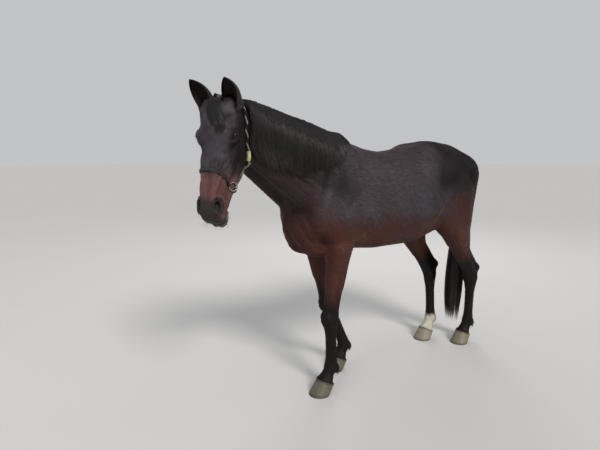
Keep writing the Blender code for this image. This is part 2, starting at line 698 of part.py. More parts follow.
# ---------------------------------------------------------------- hooves, eyes and ears
def hoof(coronet, sides=18, levels=4):
    """Horn wall from a flat sole up to the coronet's slanted plane."""
    bm = bmesh.new()
    top, normal = coronet_plane(coronet)
    sole_y = coronet[1] + (HOOF_HEEL - HOOF_TOE) / 2
    loops = []
    for level in range(levels):
        t = level / (levels - 1)
        loop = []
        for angle in 2 * np.pi * np.arange(sides) / sides:
            c, d = np.cos(angle), np.sin(angle)
            blunt = 0.90 if d > 0 else 1.0
            x = coronet[0] + c * HOOF_WIDTH / 2 * (1 - 0.17 * t)
            sole = sole_y + d * (HOOF_TOE + HOOF_HEEL) / 2 * blunt
            rim = coronet[1] + d * 0.053
            y = sole + (rim - sole) * t
            rim_z = top.z - (rim - top.y) * normal.y / normal.z - GAP / 2
            loop.append(bm.verts.new((x, y, rim_z * t)))
        loops.append(loop)
    for one, two in zip(loops, loops[1:]):
        for i in range(sides):
            j = (i + 1) % sides
            bm.faces.new((one[i], one[j], two[j], two[i]))
    bm.faces.new(loops[0][::-1])
    bm.faces.new(loops[-1])
    clean(bm)
    return bm


def head_point(side, place):
    """World place of a point given on the head's left side."""
    origin, axes = head_frame()
    return origin + axes @ (np.array(place) * (side, 1, 1))


def eye(side):
    bm = bmesh.new()
    place = Matrix.Translation(Vector(head_point(side, EYE_PLACE)))
    bmesh.ops.create_icosphere(bm, subdivisions=2, radius=EYE_RADIUS, matrix=place)
    return bm


def ear(side, arc=7, levels=8):
    """A leaf rolled round its own axis, open to the front and a little outwards."""
    origin, axes = head_frame()
    unit = axes / HEAD_SIZE
    mirror = np.array([side, 1, 1])
    axis = unit @ (np.array(EAR_TILT) / np.linalg.norm(EAR_TILT) * mirror)
    opening = unit @ (np.array(EAR_OPENING[side]) * mirror)
    opening = opening - axis * (opening @ axis)
    opening /= np.linalg.norm(opening)
    across = np.cross(axis, opening)
    root = head_point(side, EAR_ROOT) - axis * 0.018
    bm = bmesh.new()
    loops = []
    for level in range(levels):
        t = level / (levels - 1)
        radius = EAR_WIDTH / 2 * (0.62 + 0.75 * t)**0.5 * max(1 - t**2.2, 0.002)**0.9 + 0.002
        spread = np.radians(158 - 66 * min(t * 1.3, 1))
        wall = min(EAR_WALL, radius * 0.6)
        bend = opening * (0.012 * np.sin(np.pi * t) - 0.004 * t) + unit[:, 0] * EAR_LEAN[side] * t * t
        loop = []
        for rim, angles in ((radius, np.linspace(-spread, spread, arc)),
                            (radius - wall, np.linspace(spread, -spread, arc))):
            for angle in angles:
                point = root + axis * EAR_LENGTH * t - bend
                point = point - opening * rim * np.cos(angle) + across * rim * np.sin(angle)
                loop.append(bm.verts.new(Vector(point)))
        loops.append(loop)
    count = len(loops[0])
    for one, two in zip(loops, loops[1:]):
        for i in range(count):
            j = (i + 1) % count
            bm.faces.new((one[i], one[j], two[j], two[i]))
    bm.faces.new(loops[0][::-1])
    bm.faces.new(loops[-1])
    clean(bm)
    return bm


# ---------------------------------------------------------------- what lies on the skin
def sheet(grid, regions, outer_level, inner_level):
    """Closed slab over a grid of points on the skin, between two levels above it."""
    rows, columns = grid.shape[:2]
    points = settle(grid.reshape(-1, 3), regions, 5)
    normals = slope(points, regions)
    normals /= np.linalg.norm(normals, axis=1)[:, None]
    bm = bmesh.new()
    outer, inner = ([bm.verts.new(Vector(p))
                     for p in points + normals * np.broadcast_to(level, (rows, columns)).reshape(-1, 1)]
                    for level in (outer_level, inner_level))

    def at(layer, i, j):
        return layer[i * columns + j]

    for i in range(rows - 1):
        for j in range(columns - 1):
            corners = ((i, j), (i, j + 1), (i + 1, j + 1), (i + 1, j))
            bm.faces.new([at(outer, *c) for c in corners])
            bm.faces.new([at(inner, *c) for c in corners[::-1]])
    border = ([(i, 0) for i in range(rows)] + [(rows - 1, j) for j in range(1, columns)]
              + [(i, columns - 1) for i in range(rows - 2, -1, -1)] + [(0, j) for j in range(columns - 2, 0, -1)])
    for a, b in zip(border, border[1:] + border[:1]):
        bm.faces.new((at(outer, *a), at(outer, *b), at(inner, *b), at(inner, *a)))
    clean(bm)
    return bm


def band(path, widths, regions, columns=2, steps=2):
    """Grid across a path on the skin."""
    line = settle(spline(path, steps), regions, 5)
    run = np.gradient(line, axis=0)
    normals = slope(line, regions)
    across = np.cross(normals, run)
    across /= np.linalg.norm(across, axis=1)[:, None]
    across *= spline(np.array(widths, float).reshape(-1, 1), steps)
    return line[:, None] + across[:, None] * np.linspace(-0.5, 0.5, columns)[None, :, None]


def across(places):
    """World path from the left side's places over the middle, where the last one is, to the right's."""
    return [head_point(1, place) for place in places] + [head_point(-1, place) for place in places[-2::-1]]


def nose_loop(side_angles):
    """Places round the nose, by the angle from the face line; lower at the sides and under the chin."""
    places = []
    for angle in np.radians(side_angles):
        down = 0.350 + 0.041 * (1 - np.cos(angle))
        places.append(head_point(1, (0.090 * np.sin(angle), down, -0.092 + 0.092 * np.cos(angle))))
    return places


RING_PLACES = {          # on the head's left side: across, down the face, out of the face
    "cheek": (0.056, 0.412, -0.150),
    "throat": (0.081, 0.288, -0.232),
}


def ring(side, place, regions):
    """A welded ring lying on the skin."""
    centre = settle(np.array([head_point(side, place)]), regions, 6)
    normal = Vector(slope(centre, regions)[0]).normalized()
    seat = Vector(centre[0]) + normal * (RING_WIRE + STRAP_LEVELS[1])
    bm = bmesh.new()
    spin = normal.to_track_quat("Z", "Y").to_matrix().to_4x4()
    bmesh.ops.create_circle(bm, segments=5, radius=RING_WIRE,
                            matrix=Matrix.Translation((RING_RADIUS, 0, 0)) @ Matrix.Rotation(np.pi / 2, 4, "X"))
    bmesh.ops.spin(bm, geom=bm.verts[:] + bm.edges[:], axis=(0, 0, 1), cent=(0, 0, 0), steps=10,
                   angle=2 * np.pi)
    bmesh.ops.remove_doubles(bm, verts=bm.verts, dist=1e-5)
    bmesh.ops.transform(bm, verts=bm.verts, matrix=Matrix.Translation(seat) @ spin)
    lift = max(0.0, 0.0035 - depth(points_of(bm), regions).min())
    bmesh.ops.translate(bm, verts=bm.verts, vec=normal * lift)
    clean(bm)
    return bm, seat, spin


def ring_hole(seat, spin):
    """Disc that clears a ring out of the straps that meet it."""
    bm = bmesh.new()
    bmesh.ops.create_cone(bm, cap_ends=True, segments=20, radius1=RING_RADIUS + RING_WIRE,
                          radius2=RING_RADIUS + RING_WIRE, depth=0.05, matrix=Matrix.Translation(seat) @ spin)
    return bm


def halter(regions, parts):
    """Straps and rings, each in its own piece."""
    pieces, holes = {}, {}
    for name, place in RING_PLACES.items():
        for word, side in (("left", 1), ("right", -1)):
            bm, seat, spin = ring(side, place, regions)
            pieces[f"halter_{name}_ring_{word}"] = bm
            holes[name, word] = ring_hole(seat, spin)
    cheeks = [holes["cheek", "left"], holes["cheek", "right"]]
    throats = [holes["throat", "left"], holes["throat", "right"]]

    def strap(path, clear, width=STRAP_WIDTH):
        grid = band(path, [width] * len(path), regions)
        return trim(sheet(grid, regions, *STRAP_LEVELS), clear)

    pieces["halter_noseband"] = strap(nose_loop((-120, -90, -60, -30, 0, 30, 60, 90, 120)), cheeks)
    pieces["halter_chin_strap"] = strap(nose_loop((120, 138, 158, 180, 202, 222, 240)), cheeks)
    lower = (RING_PLACES["cheek"], (0.060, 0.382, -0.174), (0.066, 0.350, -0.199), (0.074, 0.318, -0.218),
             RING_PLACES["throat"])
    upper = (RING_PLACES["throat"], (0.087, 0.232, -0.210), (0.091, 0.175, -0.182), (0.095, 0.120, -0.156),
             (0.098, 0.070, -0.140), (0.086, 0.018, -0.110), (0.048, -0.034, -0.068), (0.0, -0.050, -0.020))
    under = (RING_PLACES["throat"], (0.062, 0.292, -0.262), (0.030, 0.292, -0.274), (0.0, 0.292, -0.272))
    for word, side in (("left", 1), ("right", -1)):
        path = [head_point(side, place) for place in lower]
        pieces[f"halter_cheek_strap_{word}"] = strap(path, [holes["cheek", word], holes["throat", word]])
    pieces["halter_crown_strap"] = strap(across(upper), [*throats, parts["ear_left"], parts["ear_right"]])
    beside = [pieces["halter_cheek_strap_left"], pieces["halter_cheek_strap_right"], parts["head"], parts["neck"]]
    pieces["halter_throat_strap"] = strap(across(under), throats + beside, 0.018)
    return pieces


MANE_LEVELS = np.array(((0.010, 0.013, 0.020, 0.027, 0.026, 0.024, 0.014),    # outer and inner, over the
                        (0.006, 0.006, 0.008, 0.008, 0.008, 0.008, 0.006)))   # crest and down the near side


def mane(regions, parts, straps):
    """A slab of hair from behind the ears to the withers, over the crest and down the left side."""
    grid = []
    profile = ((0.03, 1.400, 0.145), (-0.06, 1.400, 0.160), (-0.20, 1.430, 0.160), (-0.36, 1.480, 0.145),
               (-0.50, 1.537, 0.115), (-0.61, 1.572, 0.093), (-0.72, 1.605, 0.072))
    for y, z, crest in spline(profile, 2):
        share = (0.03 - y) / 0.80
        drop = 0.05 + 0.25 * np.sin(np.pi * (0.06 + 0.62 * share))
        top = z + crest * 0.84
        around = ((-0.030, top), (0.004, z + crest), (0.045, top), (0.100, top - 0.20 * drop),
                  (0.130, top - 0.47 * drop), (0.140, top - 0.74 * drop), (0.145, top - drop))
        grid.append([pose((x, y, height))[0] for x, height in around])
    bm = sheet(np.array(grid), regions, MANE_LEVELS[0], MANE_LEVELS[1])
    near = [straps["halter_" + word] for word in ("crown_strap", "cheek_strap_left", "throat_ring_left")]
    return trim(bm, [parts["neck"], parts["trunk"], parts["head"], parts["ear_left"], *near])


def forelock(regions, parts, ears, crown):
    """Hair from between the ears down the left of the forehead."""
    places = ((0.0, -0.030, -0.012), (0.006, 0.020, 0.004), (0.020, 0.080, 0.004), (0.036, 0.140, -0.004),
              (0.046, 0.190, -0.016))
    path = [head_point(1, place) for place in places]
    grid = band(path, [0.040, 0.060, 0.075, 0.065, 0.022], regions, columns=3, steps=2)
    outer = np.array((0.007, 0.014, 0.007))
    inner = np.linspace(-0.006, 0.012, len(grid)).clip(-0.006, 0.003)[:, None]
    return trim(sheet(grid, regions, outer, inner), [parts["head"], parts["neck"], *ears, crown])


TAIL = (   # x, y, z, front radius, back radius, half width
    (0.0, 1.130, 1.380, 0.034, 0.034, 0.034),
    (0.0, 1.240, 1.330, 0.038, 0.038, 0.038),
    (0.0, 1.292, 1.230, 0.042, 0.042, 0.044),
    (0.0, 1.305, 1.050, 0.046, 0.046, 0.054),
    (0.0, 1.295, 0.850, 0.048, 0.048, 0.064),
    (-0.008, 1.275, 0.600, 0.048, 0.048, 0.072),
    (-0.012, 1.262, 0.350, 0.044, 0.044, 0.078),
    (-0.012, 1.255, 0.120, 0.030, 0.030, 0.064))


def tail(parts):
    bm = bmesh.new()
    add_tube(bm, tube(TAIL, 0.02, (0.03, 0.05), steps=1, level=True), Matrix.Identity(4), sides=12)
    bmesh.ops.recalc_face_normals(bm, faces=bm.faces)
    return trim(bm, [parts["trunk"], parts["leg_hind_left"], parts["leg_hind_right"]])


# ---------------------------------------------------------------- the model
def finish_name(name):
    """Which surface a piece has."""
    for word, surface in (("hoof", "horn"), ("eye", "eye"), ("ring", "metal"), ("halter", "webbing"),
                          ("mane", "hair"), ("forelock", "hair"), ("tail", "hair"), ("leg", "points"),
                          ("ear", "points")):
        if word in name:
            return surface
    return "coat"


def build():
    regions = anatomy()
    parts = flesh(regions)
    for name, joints in LEGS.items():
        parts[name.replace("leg", "hoof")] = hoof(joints["coronet"])
    eyes = {f"eye_{word}": eye(side) for word, side in (("left", 1), ("right", -1))}
    parts["head"] = trim(parts["head"], eyes.values())
    parts.update(eyes)
    for word, side in (("left", 1), ("right", -1)):
        parts[f"ear_{word}"] = trim(ear(side), [parts["head"], parts["neck"]])
    straps = halter(regions, parts)
    crown = straps["halter_crown_strap"]
    parts["mane"] = mane(regions, parts, straps)
    parts["forelock"] = forelock(regions, parts, (parts["ear_left"], parts["ear_right"]), crown)
    parts["tail"] = tail(parts)
    parts.update(straps)
    return parts


def main():
    clear_scene()
    shift = Matrix.Translation((STAND_X, STAND_Y, 0))
    for name, bm in build().items():
        bmesh.ops.transform(bm, verts=bm.verts, matrix=shift)
        made = object_from(bm, name)
        made.data.materials.append(finish_of(finish_name(name)))


main()
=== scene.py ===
"""The looks of a bay horse that stands in a halter: one skin, its coat, hair, hooves, eyes and halter.

The body is one smooth field: named masses (bones, muscles, joints) whose distances are blended, with
creases and ridges drawn on it. The skin is the field's surface, sunk by the depth of the coat. The lie of
the coat, its markings and its painted sheen, and the places of hair and straps are functions of place in
the same field.
Metres, +Z up. The horse faces -Y and its left side is +X.
"""

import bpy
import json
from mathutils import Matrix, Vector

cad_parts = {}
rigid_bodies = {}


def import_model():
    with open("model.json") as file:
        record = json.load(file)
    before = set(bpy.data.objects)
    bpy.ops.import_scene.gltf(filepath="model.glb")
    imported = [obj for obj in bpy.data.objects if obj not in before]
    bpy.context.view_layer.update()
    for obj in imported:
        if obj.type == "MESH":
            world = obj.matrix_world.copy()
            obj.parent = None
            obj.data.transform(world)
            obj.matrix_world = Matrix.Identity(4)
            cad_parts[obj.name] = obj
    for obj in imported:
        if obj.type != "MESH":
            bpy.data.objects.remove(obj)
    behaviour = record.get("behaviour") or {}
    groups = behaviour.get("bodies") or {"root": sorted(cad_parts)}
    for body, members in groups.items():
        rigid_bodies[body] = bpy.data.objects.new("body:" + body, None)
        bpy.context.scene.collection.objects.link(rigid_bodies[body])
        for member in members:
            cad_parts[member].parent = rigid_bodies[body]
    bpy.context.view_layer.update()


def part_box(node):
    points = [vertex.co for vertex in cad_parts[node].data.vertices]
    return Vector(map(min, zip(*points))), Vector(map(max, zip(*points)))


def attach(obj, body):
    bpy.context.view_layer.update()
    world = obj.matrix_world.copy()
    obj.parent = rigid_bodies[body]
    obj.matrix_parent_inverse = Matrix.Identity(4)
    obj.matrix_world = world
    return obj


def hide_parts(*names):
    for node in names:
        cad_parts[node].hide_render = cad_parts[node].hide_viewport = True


bl_info = {
    "name": "Bay horse in a halter",
    "version": (1, 0, 0),
    "blender": (4, 5, 0),
    "location": "View3D > Sidebar > Horse",
    "description": "Builds the skin, coat, hair, hooves, eyes and halter of a standing bay horse",
    "category": "Add Mesh",
}

import json

import bpy
import numpy as np
from mathutils import Vector

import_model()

# ---------------------------------------------------------------- sizes (metres, degrees)
SKIN_CELL = 0.0118                  # cell of the skin's first mesh
BODY_COAT = 0.0065                  # depth of the coat on trunk and neck
BARE_SHARE = 0.6                    # of bare skin from which no tufts grow
FACE_COAT = 0.0024
LEG_COAT = 0.0034
TRUNK_SPLIT, LEG_SPLIT = 0.38, 0.50  # y between the fore and rear pieces of the coat

HEAD_PITCH = 77.5                   # the face below level
HEAD_SIZE = 0.97
POLL = (0.0, -0.875, 1.720)         # on the straight neck
NECK_TURNS = ((-0.15, 4.0), (-0.42, 6.5), (-0.62, 8.0), (-0.79, 9.5))  # y of each joint, angle to the left

HOOF_TOE, HOOF_HEEL = 0.112, 0.018  # sole reach before and behind the coronet's middle
HOOF_WIDTH = 0.132
CORONET_RADIUS = 0.053
HOOF_TOE_HEIGHT, HOOF_HEEL_HEIGHT = 0.092, 0.046
EYE_RADIUS = 0.0205
CORNEA, CORNEA_RISE = 0.76, 0.0012  # its edge as a share of the eye's radius, its bulge
EYE_PLACE = (0.1010, 0.177, -0.0510)
EYE_TILT = 42.0                     # of the eye's long axis from the line of the face
EYE_TURN = 24.0                     # of the lids from square sideways towards the front
LID_LENGTH, LID_HEIGHT = 0.0222, 0.0155     # half of the lids' margin along and across the eye
NOSTRIL = (0.052, 0.522, -0.040)
EAR_LENGTH, EAR_WIDTH = 0.162, 0.098
EAR_ROOT = (0.078, 0.018, -0.050)
EAR_TILT = (0.09, -0.62, 0.75)      # its axis: outwards, up the face, out of the face
EAR_OPENING = {1: (0.16, 0.75, 0.58), -1: (-0.45, 0.75, 0.58)}     # of the left and the right ear
EAR_LEAN = {1: 0.002, -1: 0.018}    # of the tip across the head, towards its left
SIDES = {"left": 1, "right": -1}


# ---------------------------------------------------------------- masses and their distance functions
def turn(axis, degrees):
    """Rotation matrix about x (0), y (1) or z (2)."""
    angle = np.radians(degrees)
    c, s = np.cos(angle), np.sin(angle)
    i, j = ((1, 2), (2, 0), (0, 1))[axis]
    m = np.eye(3)
    m[i, i], m[i, j], m[j, i], m[j, j] = c, -s, s, c
    return m


def blob(centre, radii, blend=0.03, tilt=0.0, carve=False):
    """An ellipsoid, tilted about x."""
    return dict(kind="blob", centre=np.array(centre, float), radii=np.array(radii, float),
                turn=turn(0, tilt), blend=blend, carve=carve)


def rod(start, end, start_radius, end_radius, blend=0.02, flat=1.0, carve=False):
    """A tapered round bar; flat below 1 presses it thinner from side to side."""
    return dict(kind="rod", start=np.array(start, float), end=np.array(end, float),
                radii=(start_radius, end_radius), flat=flat, blend=blend, carve=carve)


def tube(rows, blend, caps, power=2.0, steps=5, level=False, carve=False):
    """Rows of x, y, z, front radius, back radius, half width; level keeps the sections' sides along x."""
    return dict(kind="tube", rows=spline(rows, steps), caps=caps, power=power, level=level, blend=blend,
                carve=carve)


def spline(rows, steps):
    """Catmull-Rom curve through rows of numbers."""
    rows = np.array(rows, float)
    ends = np.vstack([2 * rows[0] - rows[1], rows, 2 * rows[-1] - rows[-2]])
    t = (np.arange(steps) / steps)[:, None]
    spans = [0.5 * (2 * b + (c - a) * t + (2 * a - 5 * b + 4 * c - d) * t**2 + (3 * b - a - 3 * c + d) * t**3)
             for a, b, c, d in zip(ends, ends[1:], ends[2:], ends[3:])]
    return np.vstack(spans + [rows[-1:]])


def unit(v):
    """Rows of vectors at length one."""
    return v / np.maximum(np.linalg.norm(v, axis=-1, keepdims=True), 1e-9)


def section_axes(tangent, level):
    """Unit side and front vectors of a tube's sections."""
    if level:
        side = np.array([1.0, 0.0, 0.0]) - tangent[:, :1] * tangent
    else:
        side = np.stack([tangent[:, 1], -tangent[:, 0], 0 * tangent[:, 0]], 1)
        side[np.abs(side).sum(1) < 1e-4] = (1.0, 0.0, 0.0)
    side = unit(side)
    return side, np.cross(tangent, side)


def blob_distance(p, s):
    """Distance to an ellipsoid, taken from its scaled radius and that radius's slope."""
    q = (p - s["centre"]) @ s["turn"]
    near = np.sqrt(((q / s["radii"])**2).sum(1))
    steep = np.sqrt(((q / s["radii"]**2)**2).sum(1))
    return near * (near - 1) / np.maximum(steep, 1e-6)


def rod_distance(p, s):
    """Distance to the nearest point of the axis, less the radius there."""
    run = s["end"] - s["start"]
    away = p - s["start"]
    t = np.clip(away @ run / (run @ run), 0, 1)
    away = away - t[:, None] * run
    away[:, 0] /= s["flat"]
    first, last = s["radii"]
    return (np.linalg.norm(away, axis=1) - (first + (last - first) * t)) * min(1, (s["flat"] + 1) / 2)


def tube_distance(p, s):
    """Distance along the line to the axis, less where a superellipse section is crossed on that line."""
    rows = s["rows"]
    line = rows[:, :3]
    best = np.full(len(p), 1e9, p.dtype)
    part = np.zeros(len(p), int)
    share = np.zeros(len(p), p.dtype)
    for i in range(len(line) - 1):
        run = line[i + 1] - line[i]
        away = p - line[i]
        t = np.clip(away @ run / (run @ run), 0, 1)
        away = away - t[:, None] * run
        square = (away * away).sum(1)
        closer = square < best
        best[closer], part[closer], share[closer] = square[closer], i, t[closer]
    tangent = unit(np.gradient(line, axis=0))
    share = share[:, None]
    here = rows[part] * (1 - share) + rows[part + 1] * share
    along = tangent[part] * (1 - share) + tangent[part + 1] * share
    side, front = section_axes(along, s["level"])
    away = p - here[:, :3]
    sideways = (away * side).sum(1)
    forward = (away * front).sum(1)
    beyond = ((part == 0) & (share[:, 0] <= 0)) | ((part == len(line) - 2) & (share[:, 0] >= 1))
    endways = np.where(beyond, (away * along).sum(1), 0)
    rest = np.sqrt(np.maximum(best - sideways**2 - endways**2, 0))
    deep = np.where(forward > 0, here[:, 3], here[:, 4])
    cap = np.where(part == 0, *s["caps"])
    n = s["power"]
    ratio = ((np.abs(sideways) / here[:, 5])**n + (rest / deep)**n + (np.abs(endways) / cap)**n)**(1 / n)
    length = np.sqrt(best)
    return np.where(length < 1e-4, -here[:, 5], length - length / np.maximum(ratio, 1e-4))


DISTANCE = {"blob": blob_distance, "rod": rod_distance, "tube": tube_distance}


def reach(s):
    """Box corners within which one mass counts."""
    margin = s["blend"] + 0.02
    if s["kind"] == "blob":
        r = s["radii"].max() + margin
        return s["centre"] - r, s["centre"] + r
    if s["kind"] == "rod":
        r = max(s["radii"]) + margin
        return np.minimum(s["start"], s["end"]) - r, np.maximum(s["start"], s["end"]) + r
    r = s["rows"][:, 3:6].max() + margin
    return s["rows"][:, :3].min(0) - r, s["rows"][:, :3].max(0) + r


def smooth_min(a, b, blend):
    """The lower of two values, rounded over the stretch where they are within blend of each other."""
    h = np.maximum(blend - np.abs(a - b), 0) / blend
    return np.minimum(a, b) - h * h * blend * 0.25


def region(masses, place=(np.zeros(3), np.eye(3)), mirror=False):
    """Named masses in one frame; mirror gives them to both sides of its middle plane."""
    boxes = {name: reach(s) for name, s in masses.items()}
    return dict(masses=masses, boxes=boxes, origin=place[0], inverse=np.linalg.inv(place[1]).T,
                scale=np.linalg.norm(place[1][:, 0]), mirror=mirror,
                low=np.min([low for low, high in boxes.values()], 0),
                high=np.max([high for low, high in boxes.values()], 0))


def inside_box(p, low, high):
    """Numbers of the points inside a box."""
    return np.nonzero(np.all((p > low) & (p < high), axis=1))[0]


def depth(p, regions):
    """Signed distance of points to the blended surface of all regions, negative inside."""
    p = np.asarray(p, float)
    value = np.ones(len(p))
    for part in regions:
        local = (p - part["origin"]) @ part["inverse"]
        if part["mirror"]:
            local[:, 0] = np.abs(local[:, 0])
        around = inside_box(local, part["low"], part["high"])
        if not len(around):
            continue
        local, here = local[around], value[around]
        for name, s in part["masses"].items():
            near = inside_box(local, *part["boxes"][name])
            if len(near):
                d = DISTANCE[s["kind"]](local[near], s) * part["scale"]
                if s["carve"]:
                    here[near] = -smooth_min(-here[near], d, s["blend"])
                else:
                    here[near] = smooth_min(here[near], d, s["blend"])
        value[around] = here
    return value


def slope(p, field, step=0.0008):
    """Gradient of a field, from four points of a tetrahedron."""
    corners = np.array([(1, -1, -1), (-1, -1, 1), (-1, 1, -1), (1, 1, 1)], float)
    return sum(c * field(p + c * step)[:, None] for c in corners) / (4 * step)


def settle(p, field, rounds=4, level=0.0, reach_step=0.02):
    """Move points along the slope until the field has the given level there."""
    for _ in range(rounds):
        g = slope(p, field)
        size = np.maximum((g * g).sum(1), 0.2)
        step = ((field(p) - level) / size)[:, None] * g
        p = p - np.clip(step, -reach_step, reach_step)
    return p


def ramp(x, low, high):
    """Smooth step from 0 at low to 1 at high, either way round."""
    t = np.clip((x - low) / (high - low), 0, 1)
    return t * t * (3 - 2 * t)


# ---------------------------------------------------------------- anatomy
def pose(point):
    """Turn a point of the straight neck to the horse's left, one joint after another."""
    point = np.array(point, float)
    placed = point.copy()
    axes = np.eye(3)
    for joint_y, angle in reversed(NECK_TURNS):
        if point[1] < joint_y:
            spin = turn(2, angle)
            joint = np.array([0, joint_y, 0])
            placed = spin @ (placed - joint) + joint
            axes = spin @ axes
    return placed, axes


def head_frame():
    """Origin at the poll; axes across the head, down the face and out of the face."""
    pitch = np.radians(HEAD_PITCH)
    axes = np.stack([[1, 0, 0], [0, -np.cos(pitch), -np.sin(pitch)], [0, -np.sin(pitch), np.cos(pitch)]], 1)
    origin, spin = pose(POLL)
    return origin, spin @ axes * HEAD_SIZE


def barrel():
    """Trunk along the back: y, top, bottom, half width."""
    profile = (
        (-0.12, 1.430, 0.885, 0.175),
        (0.00, 1.475, 0.845, 0.205),
        (0.16, 1.452, 0.830, 0.238),
        (0.36, 1.434, 0.815, 0.272),
        (0.56, 1.448, 0.815, 0.282),
        (0.73, 1.480, 0.845, 0.270),
        (0.88, 1.502, 0.915, 0.255),
        (1.00, 1.482, 0.985, 0.238))
    rows = [(0, y, low + 0.52 * (top - low), 0.48 * (top - low), 0.52 * (top - low), width)
            for y, top, low, width in profile]
    return region({
        "barrel": tube(rows, 0.05, (0.20, 0.235), 2.15),
        "withers front": rod((0, -0.14, 1.478), (0, 0.03, 1.490), 0.040, 0.036, 0.05, 0.8),
        "withers": rod((0, 0.03, 1.490), (0, 0.16, 1.445), 0.036, 0.035, 0.05, 0.8),
        "withers back": rod((0, 0.16, 1.445), (0, 0.32, 1.405), 0.035, 0.030, 0.05, 0.8),
        "croup": blob((0, 0.90, 1.390), (0.17, 0.25, 0.125), 0.05, -5),
        "breast": blob((0, -0.205, 1.050), (0.140, 0.130, 0.150), 0.05),
    })


def trunk_muscles():
    """Muscles and bones that show on both sides of the trunk."""
    return region({
        "shoulder blade": rod((0.080, 0.02, 1.42), (0.140, -0.165, 1.12), 0.085, 0.095, 0.05, 0.62),
        "point of shoulder": blob((0.142, -0.185, 1.070), (0.064, 0.080, 0.090), 0.04),
        "triceps": blob((0.166, -0.060, 1.045), (0.062, 0.145, 0.112), 0.035, -38),
        "upper arm": rod((0.150, -0.15, 1.06), (0.158, -0.06, 0.94), 0.085, 0.070, 0.04, 0.75),
        "pectoral": blob((0.070, -0.235, 0.990), (0.068, 0.066, 0.105), 0.03, 22),
        "sternum": blob((0.055, -0.08, 0.905), (0.085, 0.18, 0.070), 0.05),
        "fore ribs": blob((0.130, 0.24, 1.045), (0.115, 0.24, 0.165), 0.06),
        "hind ribs": blob((0.150, 0.50, 1.09), (0.130, 0.24, 0.20), 0.06),
        "point of hip": blob((0.190, 0.665, 1.335), (0.050, 0.075, 0.055), 0.08),
        "loin": rod((0.10, 0.72, 1.410), (0.13, 1.10, 1.325), 0.085, 0.095, 0.06),
        "gluteal": blob((0.150, 0.88, 1.295), (0.115, 0.23, 0.150), 0.05, -20),
        "buttock": blob((0.098, 1.150, 1.195), (0.088, 0.110, 0.150), 0.04, 14),
        "flank fold": rod((0.190, 0.62, 1.09), (0.170, 0.83, 1.01), 0.045, 0.050, 0.07, 0.6),
    }, mirror=True)


def neck():
    """Neck: y, z, crest radius, underside radius, half width, before it is turned."""
    profile = (
        (-0.02, 1.250, 0.250, 0.270, 0.155),
        (-0.16, 1.322, 0.211, 0.265, 0.128),
        (-0.30, 1.392, 0.181, 0.245, 0.106),
        (-0.44, 1.461, 0.147, 0.212, 0.090),
        (-0.58, 1.532, 0.108, 0.180, 0.080),
        (-0.70, 1.590, 0.073, 0.145, 0.072),
        (-0.81, 1.635, 0.049, 0.105, 0.060))
    masses = {"neck": tube([(*pose((0, y, z))[0], *radii) for y, z, *radii in profile], 0.06, (0.12, 0.06))}
    for word, side in SIDES.items():
        for name, start, end, *radii in (
                ("brachial", (0.050, -0.67, 1.45), (0.115, -0.22, 1.17), 0.044, 0.078, 0.04),
                ("splenius", (0.040, -0.66, 1.62), (0.078, -0.14, 1.43), 0.044, 0.082, 0.05)):
            ends = (pose(np.array(place) * (side, 1, 1))[0] for place in (start, end))
            masses[f"{name} {word}"] = rod(*ends, *radii, 0.8)
    return region(masses)


def skull():
    """Head along the face: down the face, out of it, front radius, back radius, half width."""
    profile = (
        (0.05, -0.085, 0.080, 0.100, 0.084),
        (0.13, -0.095, 0.100, 0.125, 0.090),
        (0.21, -0.098, 0.104, 0.110, 0.088),
        (0.30, -0.095, 0.091, 0.088, 0.077),
        (0.39, -0.090, 0.077, 0.072, 0.057),
        (0.47, -0.090, 0.069, 0.066, 0.056),
        (0.53, -0.093, 0.063, 0.065, 0.059),
        (0.57, -0.101, 0.050, 0.053, 0.053))
    rows = [(0, *row) for row in profile]
    return region({"skull": tube(rows, 0.045, (0.05, 0.030), 2.25, level=True)}, head_frame())


def face():
    """Bones, muscles and hollows of both sides of the head."""
    return region({
        "crown": blob((0.050, 0.055, -0.060), (0.056, 0.085, 0.058), 0.03),
        "forehead": blob((0.044, 0.135, -0.050), (0.056, 0.105, 0.053), 0.03),
        "cheek": blob((0.056, 0.155, -0.176), (0.034, 0.120, 0.098), 0.025, -8),
        "jaw bar": rod((0.047, 0.20, -0.230), (0.028, 0.50, -0.134), 0.034, 0.024, 0.025),
        "jaw back": rod((0.053, 0.11, -0.222), (0.058, 0.045, -0.140), 0.038, 0.034, 0.03),
        "orbit": blob((0.0845, 0.178, -0.051), (0.028, 0.046, 0.034), 0.022),
        "brow": rod((0.060, 0.138, -0.022), (0.0935, 0.172, -0.035), 0.019, 0.017, 0.02),
        "cheek arch": rod((0.0945, 0.185, -0.065), (0.074, 0.085, -0.090), 0.018, 0.021, 0.022),
        "facial crest": rod((0.089, 0.225, -0.092), (0.066, 0.335, -0.096), 0.015, 0.011, 0.02),
        "nose side": rod((0.030, 0.30, -0.035), (0.024, 0.48, -0.040), 0.028, 0.023, 0.03),
        "nostril wing": blob((0.048, 0.522, -0.064), (0.030, 0.050, 0.040), 0.02),
        "upper lip": blob((0.022, 0.570, -0.094), (0.043, 0.036, 0.036), 0.02),
        "lower lip": blob((0.016, 0.576, -0.144), (0.034, 0.046, 0.027), 0.016),
        "hollow over the eye": blob((0.080, 0.118, -0.018), (0.020, 0.024, 0.012), 0.03, carve=True),
        "hollow before the cheek": blob((0.082, 0.385, -0.050), (0.022, 0.075, 0.026), 0.03, carve=True),
        "hollow of the jaw": blob((0.070, 0.44, -0.125), (0.018, 0.07, 0.020), 0.03, carve=True),
    }, head_frame(), mirror=True)


def between(a, b, share):
    """The place at a share of the way from a to b."""
    return a + (b - a) * share


def leg_rows(*bones):
    """Rows of a leg's tube; each bone has its two ends, then share along it, front and back radius and half
    width of each section."""
    return [(*between(a, b, share), *radii) for a, b, *sections in bones for share, *radii in sections]


